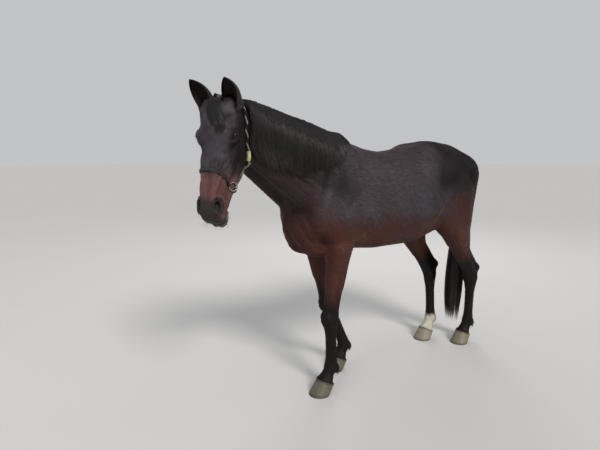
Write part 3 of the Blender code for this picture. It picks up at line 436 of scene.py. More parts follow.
def moved(side):
    """A function that moves a place away from the body's middle, backwards and up."""
    return lambda place, away=0.0, back=0.0, up=0.0: place + np.array([side * away, back, up])


def fore_leg(side, elbow, knee, fetlock, coronet):
    """A fore leg through its joints, with the muscles of the forearm."""
    e, k, f, c = (np.array(v, float) for v in (elbow, knee, fetlock, coronet))
    at = moved(side)
    rows = leg_rows(
        (e, k, (0.00, 0.080, 0.062, 0.056), (0.20, 0.074, 0.060, 0.055), (0.45, 0.063, 0.055, 0.052),
         (0.70, 0.052, 0.050, 0.046), (0.86, 0.049, 0.048, 0.045), (1.00, 0.052, 0.050, 0.050)),
        (k, f, (0.12, 0.048, 0.047, 0.046), (0.27, 0.035, 0.041, 0.034), (0.50, 0.030, 0.039, 0.031),
         (0.78, 0.031, 0.040, 0.032), (0.95, 0.038, 0.044, 0.039)),
        (f, c, (0.12, 0.039, 0.045, 0.040), (0.50, 0.036, 0.040, 0.038), (0.82, 0.043, 0.043, 0.045),
         (1.05, 0.052, 0.048, 0.053)))
    return region({
        "leg": tube(rows, 0.05, (0.09, 0.012), steps=4, level=True),
        "knee bone": blob(at(k, 0, 0.042, 0.012), (0.020, 0.020, 0.030), 0.02),
        "knee front": blob(at(k, 0, -0.028), (0.042, 0.028, 0.044), 0.02),
        "fetlock back": blob(at(f, 0, 0.030, -0.012), (0.028, 0.022, 0.029), 0.02),
        "extensors": rod(at(between(e, k, -0.02), 0.022, -0.030), at(between(e, k, 0.50), 0.012, -0.025),
                         0.050, 0.030, 0.03),
        "flexors": rod(at(between(e, k, -0.05), 0.012, 0.026), at(between(e, k, 0.50), 0.006, 0.022),
                       0.046, 0.028, 0.03),
        "inner forearm": rod(at(e, -0.024), at(between(e, k, 0.42), -0.012), 0.045, 0.030, 0.03),
    })


def hind_leg(side, hip, stifle, hock, fetlock, coronet):
    """A hind leg through its joints, with the muscles of thigh and gaskin."""
    h, s, k, f, c = (np.array(v, float) for v in (hip, stifle, hock, fetlock, coronet))
    at = moved(side)
    rows = leg_rows(
        (s, k, (0.05, 0.095, 0.115, 0.070), (0.28, 0.072, 0.092, 0.064), (0.52, 0.054, 0.070, 0.053),
         (0.75, 0.046, 0.058, 0.044), (0.92, 0.050, 0.056, 0.043)),
        (k, f, (0.04, 0.051, 0.054, 0.045), (0.17, 0.043, 0.048, 0.041), (0.32, 0.034, 0.041, 0.034),
         (0.55, 0.031, 0.039, 0.031), (0.80, 0.032, 0.041, 0.032), (0.96, 0.039, 0.045, 0.039)),
        (f, c, (0.14, 0.039, 0.045, 0.039), (0.50, 0.035, 0.039, 0.037), (0.82, 0.042, 0.042, 0.043),
         (1.05, 0.051, 0.047, 0.051)))
    point = at(k, 0, 0.058, 0.055)
    return region({
        "leg": tube(rows, 0.05, (0.08, 0.012), steps=4, level=True),
        "heel bone": rod(at(k, 0, 0.02), point, 0.036, 0.026, 0.025, 0.85),
        "heel tendon": rod(point, at(between(s, k, 0.50), 0, 0.055, 0.03), 0.022, 0.034, 0.035, 0.85),
        "hock back": rod(at(k, 0, 0.035, -0.03), at(between(k, f, 0.3), 0, 0.022), 0.026, 0.018, 0.02),
        "hock inner": blob(at(k, -0.018, -0.012, -0.02), (0.028, 0.034, 0.036), 0.02),
        "fetlock back": blob(at(f, 0, 0.030, -0.012), (0.028, 0.022, 0.029), 0.02),
        "thigh front": rod(at(h, 0.050, -0.10, 0.05), at(s, -0.008, -0.010, 0.03), 0.13, 0.080, 0.05, 0.78),
        "knee cap": blob(at(s, 0, -0.035, 0.005), (0.045, 0.045, 0.055), 0.05),
        "thigh back": rod(at(h, 0.040, 0.10, 0.06), at(between(s, k, 0.22), 0.014, 0.055), 0.135, 0.078, 0.05, 0.72),
        "ham": rod(at(h, -0.020, 0.200, 0.02), at(between(s, k, 0.36), 0, 0.070), 0.095, 0.050, 0.05, 0.85),
        "inner thigh": rod(at(h, -0.05, 0.07, -0.06), at(between(s, k, 0.25), -0.015, 0.02),
                           0.10, 0.055, 0.04, 0.75),
        "gaskin front": rod(at(between(s, k, 0.10), 0.020, -0.010), at(between(s, k, 0.58), 0.010, -0.012),
                            0.058, 0.032, 0.03),
        "gaskin back": rod(at(between(s, k, 0.12), -0.008, 0.045), at(between(s, k, 0.55), 0, 0.030),
                           0.055, 0.030, 0.03),
    })


LEGS = {   # each joint of each leg, in the stance
    "leg_fore_left": dict(elbow=(0.155, -0.070, 0.885), knee=(0.120, -0.106, 0.475),
                          fetlock=(0.108, -0.087, 0.158), coronet=(0.106, -0.126, 0.078)),
    "leg_fore_right": dict(elbow=(-0.155, 0.010, 0.885), knee=(-0.120, 0.070, 0.470),
                           fetlock=(-0.108, 0.208, 0.160), coronet=(-0.106, 0.168, 0.078)),
    "leg_hind_left": dict(hip=(0.130, 0.950, 1.220), stifle=(0.182, 0.905, 0.965), hock=(0.138, 1.265, 0.525),
                          fetlock=(0.115, 1.290, 0.158), coronet=(0.110, 1.247, 0.078)),
    "leg_hind_right": dict(hip=(-0.130, 0.930, 1.220), stifle=(-0.182, 0.830, 0.960), hock=(-0.138, 1.125, 0.520),
                           fetlock=(-0.115, 1.128, 0.158), coronet=(-0.110, 1.080, 0.078)),
}


def anatomy():
    """All regions of the body, in the order in which they shape it."""
    legs = [(fore_leg if "fore" in name else hind_leg)(1 if "left" in name else -1, **joints)
            for name, joints in LEGS.items()]
    return [barrel(), neck(), skull(), trunk_muscles(), face()] + legs


HEAD_ORIGIN, HEAD_AXES = head_frame()
HEAD_INVERSE = np.linalg.inv(HEAD_AXES).T
BODY = anatomy()


def head_points(side, places):
    """Places given on the head's left side, put on either side of the head."""
    return HEAD_ORIGIN + (np.atleast_2d(places) * (side, 1, 1)) @ HEAD_AXES.T


def in_head(p):
    """Points in the head's frame: across, down the face, out of the face."""
    return (p - HEAD_ORIGIN) @ HEAD_INVERSE


STAND = np.array(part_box("eye_left")[0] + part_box("eye_left")[1]) / 2 - head_points(1, EYE_PLACE)[0]
STAND[2] = 0.0


def outline(p):
    """The field of the coat's outer surface, as the solids have it."""
    return depth(p, BODY)


def on_body(path, steps=3, level=0.0):
    """A smooth path through rough places, laid on the coat's outer surface or level above it."""
    return settle(spline(path, steps), outline, 6, level)


def stroke(path, radius, blend, level, steps=3, carve=None):
    """A bar laid along the surface and thinned at both ends. It carves a crease, or is a ridge where its
    level is below the surface."""
    line = on_body(path, steps, level)
    swell = radius * (0.35 + 0.65 * np.sin(np.pi * np.linspace(0.0, 1.0, len(line)))**0.6)[:, None]
    return tube(np.hstack([line, swell, swell, swell]), blend, (radius * 0.35, radius * 0.35), steps=1,
                carve=level > 0 if carve is None else carve)


# ---------------------------------------------------------------- creases, ridges and openings
def eye_axes():
    """Directions out of the left eye's lids, along them to the inner corner and up across them, head's frame."""
    tilt, turn = np.radians(EYE_TILT), np.radians(EYE_TURN)
    outward, front = np.array([np.cos(turn), 0, np.sin(turn)]), np.array([-np.sin(turn), 0, np.cos(turn)])
    down = np.array([0.0, 1.0, 0.0])
    return outward, down * np.cos(tilt) + front * np.sin(tilt), front * np.cos(tilt) - down * np.sin(tilt)


def eye_outline(side, angles, wide, high, lift):
    """Points round the eye: an ellipse tilted from the line of the face, lift above the ball or the coat."""
    outward, along, upward = eye_axes()
    a, b = wide * np.cos(angles), high * np.sin(angles)
    ball = EYE_RADIUS / HEAD_SIZE
    out = np.sqrt(np.maximum(ball**2 - a**2 - b**2, 0.0)) + lift
    out = np.maximum(out, 0.0150)
    places = np.array(EYE_PLACE) + out[:, None] * outward + a[:, None] * along + b[:, None] * upward
    return head_points(side, places)


def eye_parts(side):
    """Opening between the lids, the lids' rims and the folds over and under them."""
    parts = {}
    for name, first, last, count, wide, high, radius, level in (
            ("fold over the lid", 12, 168, 9, 0.0285, 0.0205, 0.0030, 0.0008),
            ("second fold over the lid", 30, 150, 8, 0.036, 0.0285, 0.0024, 0.0010),
            ("fold under the lid", -20, -160, 8, 0.0265, 0.0190, 0.0024, 0.0008)):
        line = eye_outline(side, np.radians(np.linspace(first, last, count)), wide, high, 0.0)
        parts[name] = stroke(line, radius, 0.003, level, 2)
    centre = head_points(side, np.array(EYE_PLACE) + 0.020 * eye_axes()[0])[0]
    parts["opening"] = blob(centre, (0.0150, 0.0205, 0.0150), 0.003, carve=True)
    parts["opening"]["turn"] = unit(np.array([HEAD_AXES @ (axis * (side, 1, 1)) for axis in eye_axes()])).T
    for name, way, high, lift, radius in (("upper lid", 1, 0.0160, 0.0010, 0.0030),
                                          ("lower lid", -1, 0.0150, 0.0002, 0.0024)):
        line = eye_outline(side, way * np.radians(np.linspace(2, 178, 13)), LID_LENGTH, high, lift)
        parts[name] = tube(np.hstack([line, np.full((len(line), 3), radius)]), 0.004, (radius, radius), steps=1)
    return parts


def muzzle_parts(side):
    """Nostril, mouth, lips and chin, and the ridges and grooves of the face above them."""
    middle = np.array(NOSTRIL)
    long_way, short_way = np.array([0, 0.97, -0.24]), np.array([0, 0.24, 0.97])
    rim = [middle + long_way * 0.036 * np.cos(a) + short_way * 0.018 * np.sin(a)
           for a in np.linspace(0, 2 * np.pi, 13)]
    slit = [middle + long_way * t + short_way * 0.005 * np.sin(3 * t / 0.02) for t in np.linspace(-0.026, 0.026, 5)]
    mouth = np.array([(0.0, 0.606, -0.120), (0.022, 0.600, -0.121), (0.036, 0.585, -0.124),
                      (0.046, 0.556, -0.129), (0.050, 0.520, -0.136)])
    pit = head_points(side, [middle + (0.002, 0.008, 0), middle - (0.020, 0.026, 0.012)])
    rows = {   # path, radius, blend, level above the surface
        "nostril rim": (rim, 0.0070, 0.008, -0.0016, 2),
        "nostril": (slit, 0.0135, 0.005, -0.0030, 3, True),
        "nostril pit": rod(*pit, 0.0125, 0.008, 0.004, carve=True),
        "fold behind the nostril": (((0.044, 0.462, -0.030), (0.056, 0.468, -0.052), (0.056, 0.484, -0.078)),
                                    0.006, 0.008, 0.0035),
        "mouth": (mouth, 0.0042, 0.003, 0.0014),
        "lower lip": (mouth[:4] + (0.002, -0.004, -0.013), 0.0085, 0.008, -0.004),
        "upper lip": (mouth[:4] + (0.0, 0.0, 0.014), 0.009, 0.008, -0.0055),
        "chin": blob(head_points(side, (0.010, 0.545, -0.166))[0], (0.020, 0.022, 0.018), 0.014),
        "face vein": (((0.070, 0.270, -0.118), (0.064, 0.320, -0.118), (0.058, 0.375, -0.096),
                       (0.050, 0.430, -0.080)), 0.0036, 0.006, -0.0012),
        "lip lifter": (((0.066, 0.290, -0.070), (0.052, 0.360, -0.046), (0.040, 0.430, -0.030),
                        (0.026, 0.500, -0.022)), 0.0080, 0.012, -0.0036),
        "groove under the crest": (((0.078, 0.245, -0.112), (0.070, 0.290, -0.116), (0.060, 0.345, -0.114)),
                                   0.006, 0.010, 0.0035),
        "nose bone edge": (((0.045, 0.250, -0.012), (0.035, 0.340, -0.020), (0.026, 0.430, -0.026)),
                           0.007, 0.012, -0.0030),
        "cheek front": (((0.080, 0.262, -0.135), (0.078, 0.290, -0.165), (0.070, 0.300, -0.195)),
                        0.010, 0.014, 0.0065),
    }
    return {name: row if isinstance(row, dict) else stroke(head_points(side, row[0]), *row[1:])
            for name, row in rows.items()}


GROOVES = {   # between the muscles of the left side: path, radius, level; the first two turn with the neck
    "jugular groove": (((0.085, -0.63, 1.44), (0.115, -0.45, 1.33), (0.135, -0.28, 1.22)), 0.022, 0.012),
    "mane muscle edge": (((0.075, -0.66, 1.62), (0.095, -0.45, 1.54), (0.13, -0.22, 1.45)), 0.025, 0.018),
    "shoulder front": (((0.16, -0.11, 1.42), (0.19, -0.19, 1.28), (0.21, -0.25, 1.15)), 0.024, 0.019),
    "triceps top": (((0.24, 0.07, 1.27), (0.24, -0.03, 1.17), (0.23, -0.12, 1.10)), 0.020, 0.018),
    "behind the elbow": (((0.26, 0.10, 1.10), (0.25, 0.07, 1.00), (0.20, 0.03, 0.92)), 0.026, 0.018),
    "breast side": (((0.11, -0.36, 1.08), (0.13, -0.31, 0.98), (0.15, -0.22, 0.90)), 0.016, 0.010),
    "flank": (((0.235, 0.675, 0.955), (0.25, 0.745, 1.045), (0.26, 0.825, 1.14), (0.25, 0.86, 1.22)), 0.028, 0.024),
    "thigh front": (((0.25, 0.88, 1.26), (0.25, 0.90, 1.14), (0.24, 0.90, 1.02)), 0.018, 0.012),
    "thigh back": (((0.20, 1.02, 1.30), (0.24, 1.09, 1.14), (0.22, 1.09, 0.98), (0.18, 1.12, 0.86)), 0.020, 0.012),
    "buttock cleft": (((0.02, 1.26, 1.20), (0.02, 1.24, 1.05), (0.03, 1.20, 0.92)), 0.020, 0.008)}


def body_parts(side):
    """The grooves of one side of the neck and trunk."""
    parts = {}
    for number, (name, (path, radius, level)) in enumerate(GROOVES.items()):
        path = np.array(path) * (side, 1, 1)
        parts[name] = stroke([pose(place)[0] for place in path] if number < 2 else path, radius, 0.022, level)
    return parts


LEG_GROOVES = {   # from the knee or the hock: path, radius, blend, level
    "knee": {
        "knee crease": (((0.040, -0.030, -0.010), (0, -0.060, -0.004), (-0.040, -0.030, -0.010)),
                        0.0060, 0.010, 0.0035),
        "forearm groove": (((0.050, -0.005, 0.075), (0.060, 0.005, 0.18), (0.070, 0.010, 0.28)),
                           0.013, 0.014, 0.0085)},
    "hock": {
        "gaskin groove": (((0.045, 0.020, 0.110), (0.060, -0.040, 0.20), (0.070, -0.110, 0.29)),
                          0.013, 0.014, 0.0080),
        "hock dent": (((0.045, 0.030, 0.055), (0.045, 0.015, 0.085), (0.045, 0.0, 0.120)),
                      0.012, 0.012, 0.0060)}}


def leg_parts(name, joints):
    """Tendons and the grooves before them, fetlock knobs and coronet swellings of one leg, and the creases
    at its knee or hock."""
    side = 1 if "left" in name else -1
    bend = "knee" if "knee" in joints else "hock"
    k, f, c = (np.array(joints[joint], float) for joint in (bend, "fetlock", "coronet"))
    parts = {}
    for word, way in (("outer", side), ("inner", -side)):
        line = [between(k, f, t) + (way * 0.045, 0.012, 0) for t in (0.24, 0.4, 0.6, 0.82)]
        rear = [between(k, f, t) + (way * 0.020, 0.050, 0) for t in (0.28, 0.45, 0.65, 0.85)]
        ring = c + np.array([(0.030, -0.052, 0.026), (0.052, -0.015, 0.014), (0.048, 0.028, -0.006)]) * (way, 1, 1)
        parts |= {word + " tendon groove": stroke(line, 0.0075, 0.008, 0.0030, 2),
                  word + " tendon": stroke(rear, 0.0080, 0.010, -0.0055, 2),
                  word + " fetlock knob": blob(f + (way * 0.034, 0.002, 0.006), (0.010, 0.015, 0.016), 0.012),
                  word + " coronet swelling": stroke(ring, 0.0085, 0.010, -0.0050)}
    for groove, (path, *sizes) in LEG_GROOVES[bend].items():
        parts[groove] = stroke(k + np.array(path) * (side, 1, 1), *sizes)
    return parts


def detailed_body():
    """The body's regions with all creases, ridges and openings, in the order in which they shape it."""
    cleft = stroke([(0, -0.40, 1.13), (0, -0.40, 1.04), (0, -0.34, 0.93), (0, -0.20, 0.88)], 0.018, 0.020, 0.006)
    return (BODY + [region(body_parts(side)) for side in (1, -1)] + [region({"breast cleft": cleft})]
            + [region({**muzzle_parts(side), **eye_parts(side)}) for side in (1, -1)]
            + [region(leg_parts(name, joints)) for name, joints in LEGS.items()])


# ---------------------------------------------------------------- regions of the coat
def on_head(p):
    """1 on the head, 0 on the neck behind it."""
    across, down, out = in_head(p).T
    back = np.maximum(-0.17 - 0.90 * down, -0.33)
    return ramp(down, -0.03, 0.05) * ramp(out, back - 0.03, back + 0.02) * (np.abs(across) < 0.16) * (
        np.abs(down) < 0.75)


def coat_depth(p):
    """How far the skin lies under the coat's outer surface."""
    low = ramp(p[:, 2], 0.85, 0.55)
    body = BODY_COAT + (LEG_COAT - BODY_COAT) * low
    head = on_head(p)
    down = in_head(p)[:, 1]
    face_coat = FACE_COAT * (1 - 0.6 * ramp(down, 0.45, 0.56))
    return body + (face_coat - body) * head


# ---------------------------------------------------------------- meshes
def add_piece(name, points, faces, material, slot, replaced=(), attributes=(), uvs=(), normals=None):
    """A mesh object in the row frame that rides on the root body and stands for CAD nodes.

    attributes: (name, one value or one vector per point); uvs: (name, one pair per corner);
    normals: the shading directions of the points, where they are not the mesh's own."""
    mesh = bpy.data.meshes.new(name)
    faces = np.asarray(faces, np.int32)
    sides = faces.shape[1]
    mesh.vertices.add(len(points))
    mesh.vertices.foreach_set("co", (np.asarray(points) + STAND).astype(np.float32).ravel())
    mesh.loops.add(faces.size)
    mesh.loops.foreach_set("vertex_index", faces.ravel())
    mesh.polygons.add(len(faces))
    mesh.polygons.foreach_set("loop_start", np.arange(0, faces.size, sides, dtype=np.int32))
    for title, pairs in uvs:
        mesh.uv_layers.new(name=title).data.foreach_set("uv", np.asarray(pairs, np.float32).ravel())
    for title, values in attributes:
        values = np.asarray(values, np.float32)
        kind, field = ("FLOAT", "value") if values.ndim == 1 else ("FLOAT_VECTOR", "vector")
        mesh.attributes.new(title, kind, "POINT").data.foreach_set(field, values.ravel())
    mesh.update(calc_edges=True)
    mesh.validate()
    mesh.shade_smooth()
    if normals is not None:
        mesh.normals_split_custom_set_from_vertices(normals)
    mesh.materials.append(material)
    made = bpy.data.objects.new(name, mesh)
    bpy.context.scene.collection.objects.link(made)
    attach(made, "root")
    if replaced:
        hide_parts(*replaced)
    return made


def grid_faces(rows, columns):
    """Quads over a grid of points stored row by row, whose last column joins the first."""
    i, j = np.arange(rows - 1)[:, None] * columns, np.arange(columns)[None, :]
    k = (j + 1) % columns
    return np.stack([i + j, i + k, i + columns + k, i + columns + j], -1).reshape(-1, 4)


def as_triangles(quads):
    return np.vstack([quads[:, [0, 1, 2]], quads[:, [0, 2, 3]]])


def tube_grid(line, across, normal, profile):
    """A closed profile (rows of across and normal offsets) carried along a line."""
    return (line[:, None] + across[:, None] * profile[:, :1] + normal[:, None] * profile[:, 1:]).reshape(-1, 3)


def with_ends(points, rows, columns):
    """Points and triangles of a grid whose first and last rows are closed with fans round a middle point."""
    first = np.arange(columns)
    last = (rows - 1) * columns + first
    count = len(points)
    fans = [np.stack([np.roll(first, -1), first, 0 * first + count], 1),
            np.stack([last, np.roll(last, -1), 0 * first + count + 1], 1)]
    centres = [points[first].mean(0), points[last].mean(0)]
    return np.vstack([points, centres]), np.vstack([as_triangles(grid_faces(rows, columns)), *fans])


def narrow_band(field, low, high, cell, coarse=4):
    """Field values on a grid: everywhere coarse first, and worked out again only near the surface."""
    counts = [((int(np.ceil((b - a) / cell)) - 1) // coarse + 1) * coarse + 1 for a, b in zip(low, high)]
    axes = [a + cell * np.arange(n) for a, n in zip(low, counts)]
    few = np.stack(np.meshgrid(*(axis[::coarse] for axis in axes), indexing="ij"), -1)
    rough = field(few.reshape(-1, 3)).reshape(few.shape[:3])
    for axis in range(3):
        rough = np.repeat(rough, coarse, axis=axis)
    half = coarse // 2
    values = np.ones(counts, np.float32)
    rough = rough[half:, half:, half:][:counts[0], :counts[1], :counts[2]]
    values[:rough.shape[0], :rough.shape[1], :rough.shape[2]] = rough
    near = np.argwhere(np.abs(values) < cell * coarse * 2.2)
    values[tuple(near.T)] = field(np.stack([axes[i][near[:, i]] for i in range(3)], 1))
    return values


def surface_net(values, low, cell):
    """Quads round the surface where the grid's values change sign: one point in each cell it crosses."""
    inside = values < 0
    counts = np.array(values.shape)
    total = np.zeros(counts - 1, np.uint8)
    corners = np.array(list(np.ndindex(2, 2, 2)))
    for corner in corners:
        total += inside[tuple(slice(start, count - 1 + start) for start, count in zip(corner, counts))]
    cells = np.argwhere((total > 0) & (total < 8))
    number = np.full(total.shape, -1, np.int32)
    number[tuple(cells.T)] = np.arange(len(cells))
    at_corners = np.stack([values[tuple((cells + corner).T)] for corner in corners], 1)
    place, crossings = np.zeros((len(cells), 3)), np.zeros(len(cells))
    for i, j in ((i, j) for i in range(8) for j in range(i + 1, 8)):
        if np.abs(corners[i] - corners[j]).sum() == 1:
            a, b = at_corners[:, i], at_corners[:, j]
            crossed = (a < 0) != (b < 0)
            t = np.where(crossed, a / np.where(crossed, a - b, 1), 0)
            place += crossed[:, None] * (corners[i] + (corners[j] - corners[i]) * t[:, None])
            crossings += crossed
    points = np.array(low) + cell * (cells + place / crossings[:, None])
    quads = []
    for axis, (one, two) in enumerate(((1, 2), (2, 0), (0, 1))):
        change = np.diff(inside.astype(np.int8), axis=axis) != 0
        edges = np.argwhere(change)
        edges = edges[np.all((edges[:, [one, two]] > 0) & (edges[:, [one, two]] < counts[[one, two]] - 1), axis=1)]
        step_one, step_two = np.eye(3, dtype=int)[[one, two]]
        around = (0 * step_one, step_one, step_one + step_two, step_two)
        quad = np.stack([number[tuple((edges - step).T)] for step in around], 1)
        outward = inside[tuple(edges.T)]
        quad[~outward] = quad[~outward][:, ::-1]
        quads.append(quad)
    return points, np.vstack(quads)


def edges_of(triangles):
    """Each edge once, and which of them are the three edges of each triangle."""
    pairs = np.sort(triangles[:, [[0, 1], [1, 2], [2, 0]]].reshape(-1, 2), axis=1)
    edges, index = np.unique(pairs, axis=0, return_inverse=True)
    return edges, index.reshape(-1, 3)


def refine(points, triangles, chosen):
    """Cut the chosen triangles in four, and their neighbours so that the mesh stays closed."""
    edges, of_triangle = edges_of(triangles)
    split = np.zeros(len(edges), bool)
    split[of_triangle[chosen].ravel()] = True
    middle = np.full(len(edges), -1)
    middle[split] = len(points) + np.arange(split.sum())
    marks = split[of_triangle]
    count = marks.sum(1)
    made = [triangles[count == 0]]

    def cut(which, order, *pieces):
        """New triangles of some old ones: corners are 0 to 2, the middles of their edges 3 to 5."""
        corners = np.hstack([triangles[which][:, order], middle[of_triangle][which][:, order]])
        made.extend(corners[:, piece] for piece in pieces)

    cut(count == 3, [0, 1, 2], [0, 3, 5], [3, 1, 4], [5, 4, 2], [3, 4, 5])
    for k in range(3):
        order = [k, (k + 1) % 3, (k + 2) % 3]
        cut((count == 1) & marks[:, k], order, [0, 3, 2], [3, 1, 2])
        cut((count == 2) & ~marks[:, k], order, [4, 2, 5], [0, 1, 4], [0, 4, 5])
    return np.vstack([points, points[edges[split]].mean(1)]), np.vstack(made)


def relaxed(points, triangles, rounds=1, share=0.5):
    """Move each point part of the way to the mean of its neighbours."""
    edges, _ = edges_of(triangles)
    for _ in range(rounds):
        total = np.zeros_like(points)
        count = np.zeros(len(points))
        for a, b in ((0, 1), (1, 0)):
            for axis in range(3):
                total[:, axis] += np.bincount(edges[:, a], points[edges[:, b], axis], len(points))
            count += np.bincount(edges[:, a], minlength=len(points))
        points = points + share * (total / np.maximum(count, 1)[:, None] - points)
    return points


# ---------------------------------------------------------------- the skin
SKIN_LOW, SKIN_HIGH = (-0.34, -1.02, 0.035), (0.36, 1.40, 1.79)
SHANK_TOP, SHANK_FOOT, MUZZLE_TOP = 0.56, 0.07, 0.475    # heights, and down the face, of finer skin


def near_eyes(p, radius):
    """Which points lie within a radius of either eye."""
    return np.any([((p - head_points(side, EYE_PLACE)[0])**2).sum(1) < radius**2 for side in (1, -1)], 0)


def make_skin(cell):
    """Points, triangles and normals of the skin: a surface net of the sunk field, refined on legs, head
    and round the eyes."""
    regions = detailed_body()

    def field(p):
        return depth(p, regions) + coat_depth(p)

    points, quads = surface_net(narrow_band(field, SKIN_LOW, SKIN_HIGH, cell), SKIN_LOW, cell)
    triangles = as_triangles(quads)
    points = settle(relaxed(settle(points, field, 2), triangles, 2), field, 2)
    choices = (lambda p, down, head: head | ((p[:, 2] < SHANK_TOP) & (p[:, 2] > SHANK_FOOT)),
               lambda p, down, head: (head & (down > MUZZLE_TOP)) | near_eyes(p, 0.050),
               lambda p, down, head: near_eyes(p, 0.030))
    for choice in choices:
        middle = points[triangles].mean(1)
        fresh = len(points)
        points, triangles = refine(points, triangles, choice(middle, in_head(middle)[:, 1], on_head(middle) > 0.5))
        where = np.unique(triangles[np.any(triangles >= fresh, axis=1)])
        soft = relaxed(points, triangles, 1, 0.4)
        points[where] = settle(soft[where], field, 2, reach_step=0.006)
    return points, triangles, unit(slope(points, field))




# ---------------------------------------------------------------- materials
class Wire:
    """An output of a node; sums and products with numbers or other wires make the nodes for them."""

    def __init__(self, shade, socket):
        self.shade, self.socket = shade, socket

    def math(self, operation, first, second=0.0, third=0.0):
        return self.shade.node("Math", {"operation": operation}, {0: first, 1: second, 2: third})

    def __add__(self, other):
        return self.math("ADD", self, other)

    def __sub__(self, other):
        return self.math("SUBTRACT", self, other)

    def __rsub__(self, other):
        return self.math("SUBTRACT", other, self)

    def __mul__(self, other):
        return self.math("MULTIPLY", self, other)

    def __truediv__(self, other):
        return self.math("DIVIDE", self, other)

    def __rtruediv__(self, other):
        return self.math("DIVIDE", other, self)

    def __pow__(self, other):
        return self.math("POWER", self, other)

    __radd__ = __add__
    __rmul__ = __mul__

    def clamped(self):
        return self.math("MINIMUM", self.math("MAXIMUM", self, 0.0), 1.0)

    def ramp(self, low, high):
        """Smooth step from 0 at low to 1 at high."""
        return self.shade.node("MapRange", {"interpolation_type": "SMOOTHSTEP"},
                               {"Value": self, "From Min": low, "From Max": high})


class Shade:
    """A material being made: a principled surface and the nodes that vary it."""

    def __init__(self, name, **constants):
        self.material = bpy.data.materials.new(name)
        self.material.use_nodes = True
        self.nodes = self.material.node_tree.nodes
        self.surface = self.nodes["Principled BSDF"]
        self.place = self.node("TexCoord", output="Object")
        for title, value in constants.items():
            self.set(title.replace("_", " "), value)

    def node(self, kind, settings=None, values=None, output=0):
        """Any node: its type, its settings, its inputs by name or number, and the output to go on from."""
        made = self.nodes.new("ShaderNode" + kind)
        for title, value in (settings or {}).items():
            setattr(made, title, value)
        for key, value in (values or {}).items():
            self.join(made.inputs[key], value)
        return Wire(self, made.outputs[output])

    def join(self, socket, value):
        if isinstance(value, Wire):
            self.material.node_tree.links.new(value.socket, socket)
        else:
            socket.default_value = (*value, 1.0) if socket.type == "RGBA" else value

    def set(self, title, value):
        """Give an input of the surface a value or a wire."""
        self.join(self.surface.inputs[title], value)

    def attribute(self, name, output="Fac"):
        return self.node("Attribute", {"attribute_name": name}, output=output)

    def parts(self, vector):
        """The three parts of a vector."""
        first = self.node("SeparateXYZ", None, {0: vector})
        return [Wire(self, socket) for socket in first.socket.node.outputs]

    def mix(self, share, first, second):
        """A colour between two."""
        return self.node("Mix", {"data_type": "RGBA"}, {0: share, 6: first, 7: second}, 2)

    def scaled(self, vector, factors):
        return self.node("VectorMath", {"operation": "MULTIPLY"}, {0: vector, 1: factors})

    def tinted(self, colour, brightness):
        """A colour made darker or lighter by a wire about one."""
        return self.scaled(colour, self.node("CombineXYZ", None, dict.fromkeys(range(3), brightness)))

    def noise(self, scale, detail=2.0, where=None, stretch=None):
        """Noise about one half, at a scale per metre; stretch gives each axis its own."""
        where = self.place if where is None else where
        if stretch:
            where = self.scaled(where, stretch)
        return self.node("TexNoise", None, {"Vector": where, "Scale": scale, "Detail": detail})

    def done(self, colour, roughness, *bumps):
        """The material with its colour, its roughness and bumps one over another: height and how far it
        stands out in metres."""
        self.set("Base Color", colour)
        self.set("Roughness", roughness)
        below = {}
        for height, distance in bumps:
            below = {"Normal": self.node("Bump", None, {
                "Height": height, "Distance": distance, "Strength": 1.0, **below})}
        for title, normal in below.items():
            self.set(title, normal)
        return self.material


# sheen is no marking but painted sheen: a painted reflection of bluish sky light on the coat
MARKS = ("sheen", "red", "tan", "dark", "muzzle", "grey", "white")
# the sheen colour is that painted reflection; white is the sock's colour and also a painted highlight on the lower
# lip
COAT_COLOURS = {
    "base": (0.026, 0.013, 0.014), "mottle": (0.040, 0.024, 0.028), "sheen": (0.057, 0.049, 0.058),
    "red": (0.068, 0.022, 0.016), "tan": (0.140, 0.058, 0.030), "dark": (0.0075, 0.0045, 0.0050),
    "muzzle": (0.135, 0.061, 0.055), "grey": (0.023, 0.020, 0.019), "white": (0.56, 0.54, 0.44)}


def coat_colour(shade):
    """The coat's colour: its two base colours under its markings and its painted sheen, all mottled broadly and
    finely.
    """
    colours = bpy.context.scene.horse.coat
    broad = shade.noise(5.0, 3.0)
    flecks = shade.noise(420.0, 2.0)
    colour = shade.mix((broad * 1.6 - 0.35).clamped(), colours.base, colours.mottle)
    for name in MARKS:
        share = shade.attribute(name)
        share = (share * 1.25 + (flecks - 0.5) * 0.5 * share + (broad - 0.5) * 0.5 * share - 0.08).clamped()
        colour = shade.mix(share, colour, getattr(colours, name))
    return colour


def skin_material():
    """Short coat that lies flat: fine streaks along its lie, on folds of the skin below."""
    shade = Shade("coat_skin", Specular_IOR_Level=0.18)
    combed = shade.attribute("combed", "Vector")
    hairs = shade.noise(1.0, 3.0, combed, (1500.0, 1500.0, 110.0))
    locks = shade.noise(1.0, 2.0, combed, (420.0, 420.0, 45.0))
    return shade.done(shade.tinted(coat_colour(shade), 0.62 + hairs * 0.45 + locks * 0.25),
                      0.40 + hairs * 0.25 - shade.attribute("bare") * 0.10,
                      (shade.noise(260.0, 3.0), 0.0012), (locks, 0.0022), (hairs, 0.0011))


def tuft_material():
    """Tufts: the skin's colours, darker at the root, each with its own shade."""
    shade = Shade("coat_tufts", Specular_IOR_Level=0.20)
    tip, own = shade.attribute("tip"), shade.attribute("own")
    grain = shade.noise(1.0, 2.0, shade.attribute("combed", "Vector"), (2600.0, 2600.0, 160.0))
    return shade.done(shade.tinted(coat_colour(shade), (0.66 + tip * 0.48) * (0.80 + own * 0.40)),
                      0.36 + own * 0.18, (grain, 0.0007))


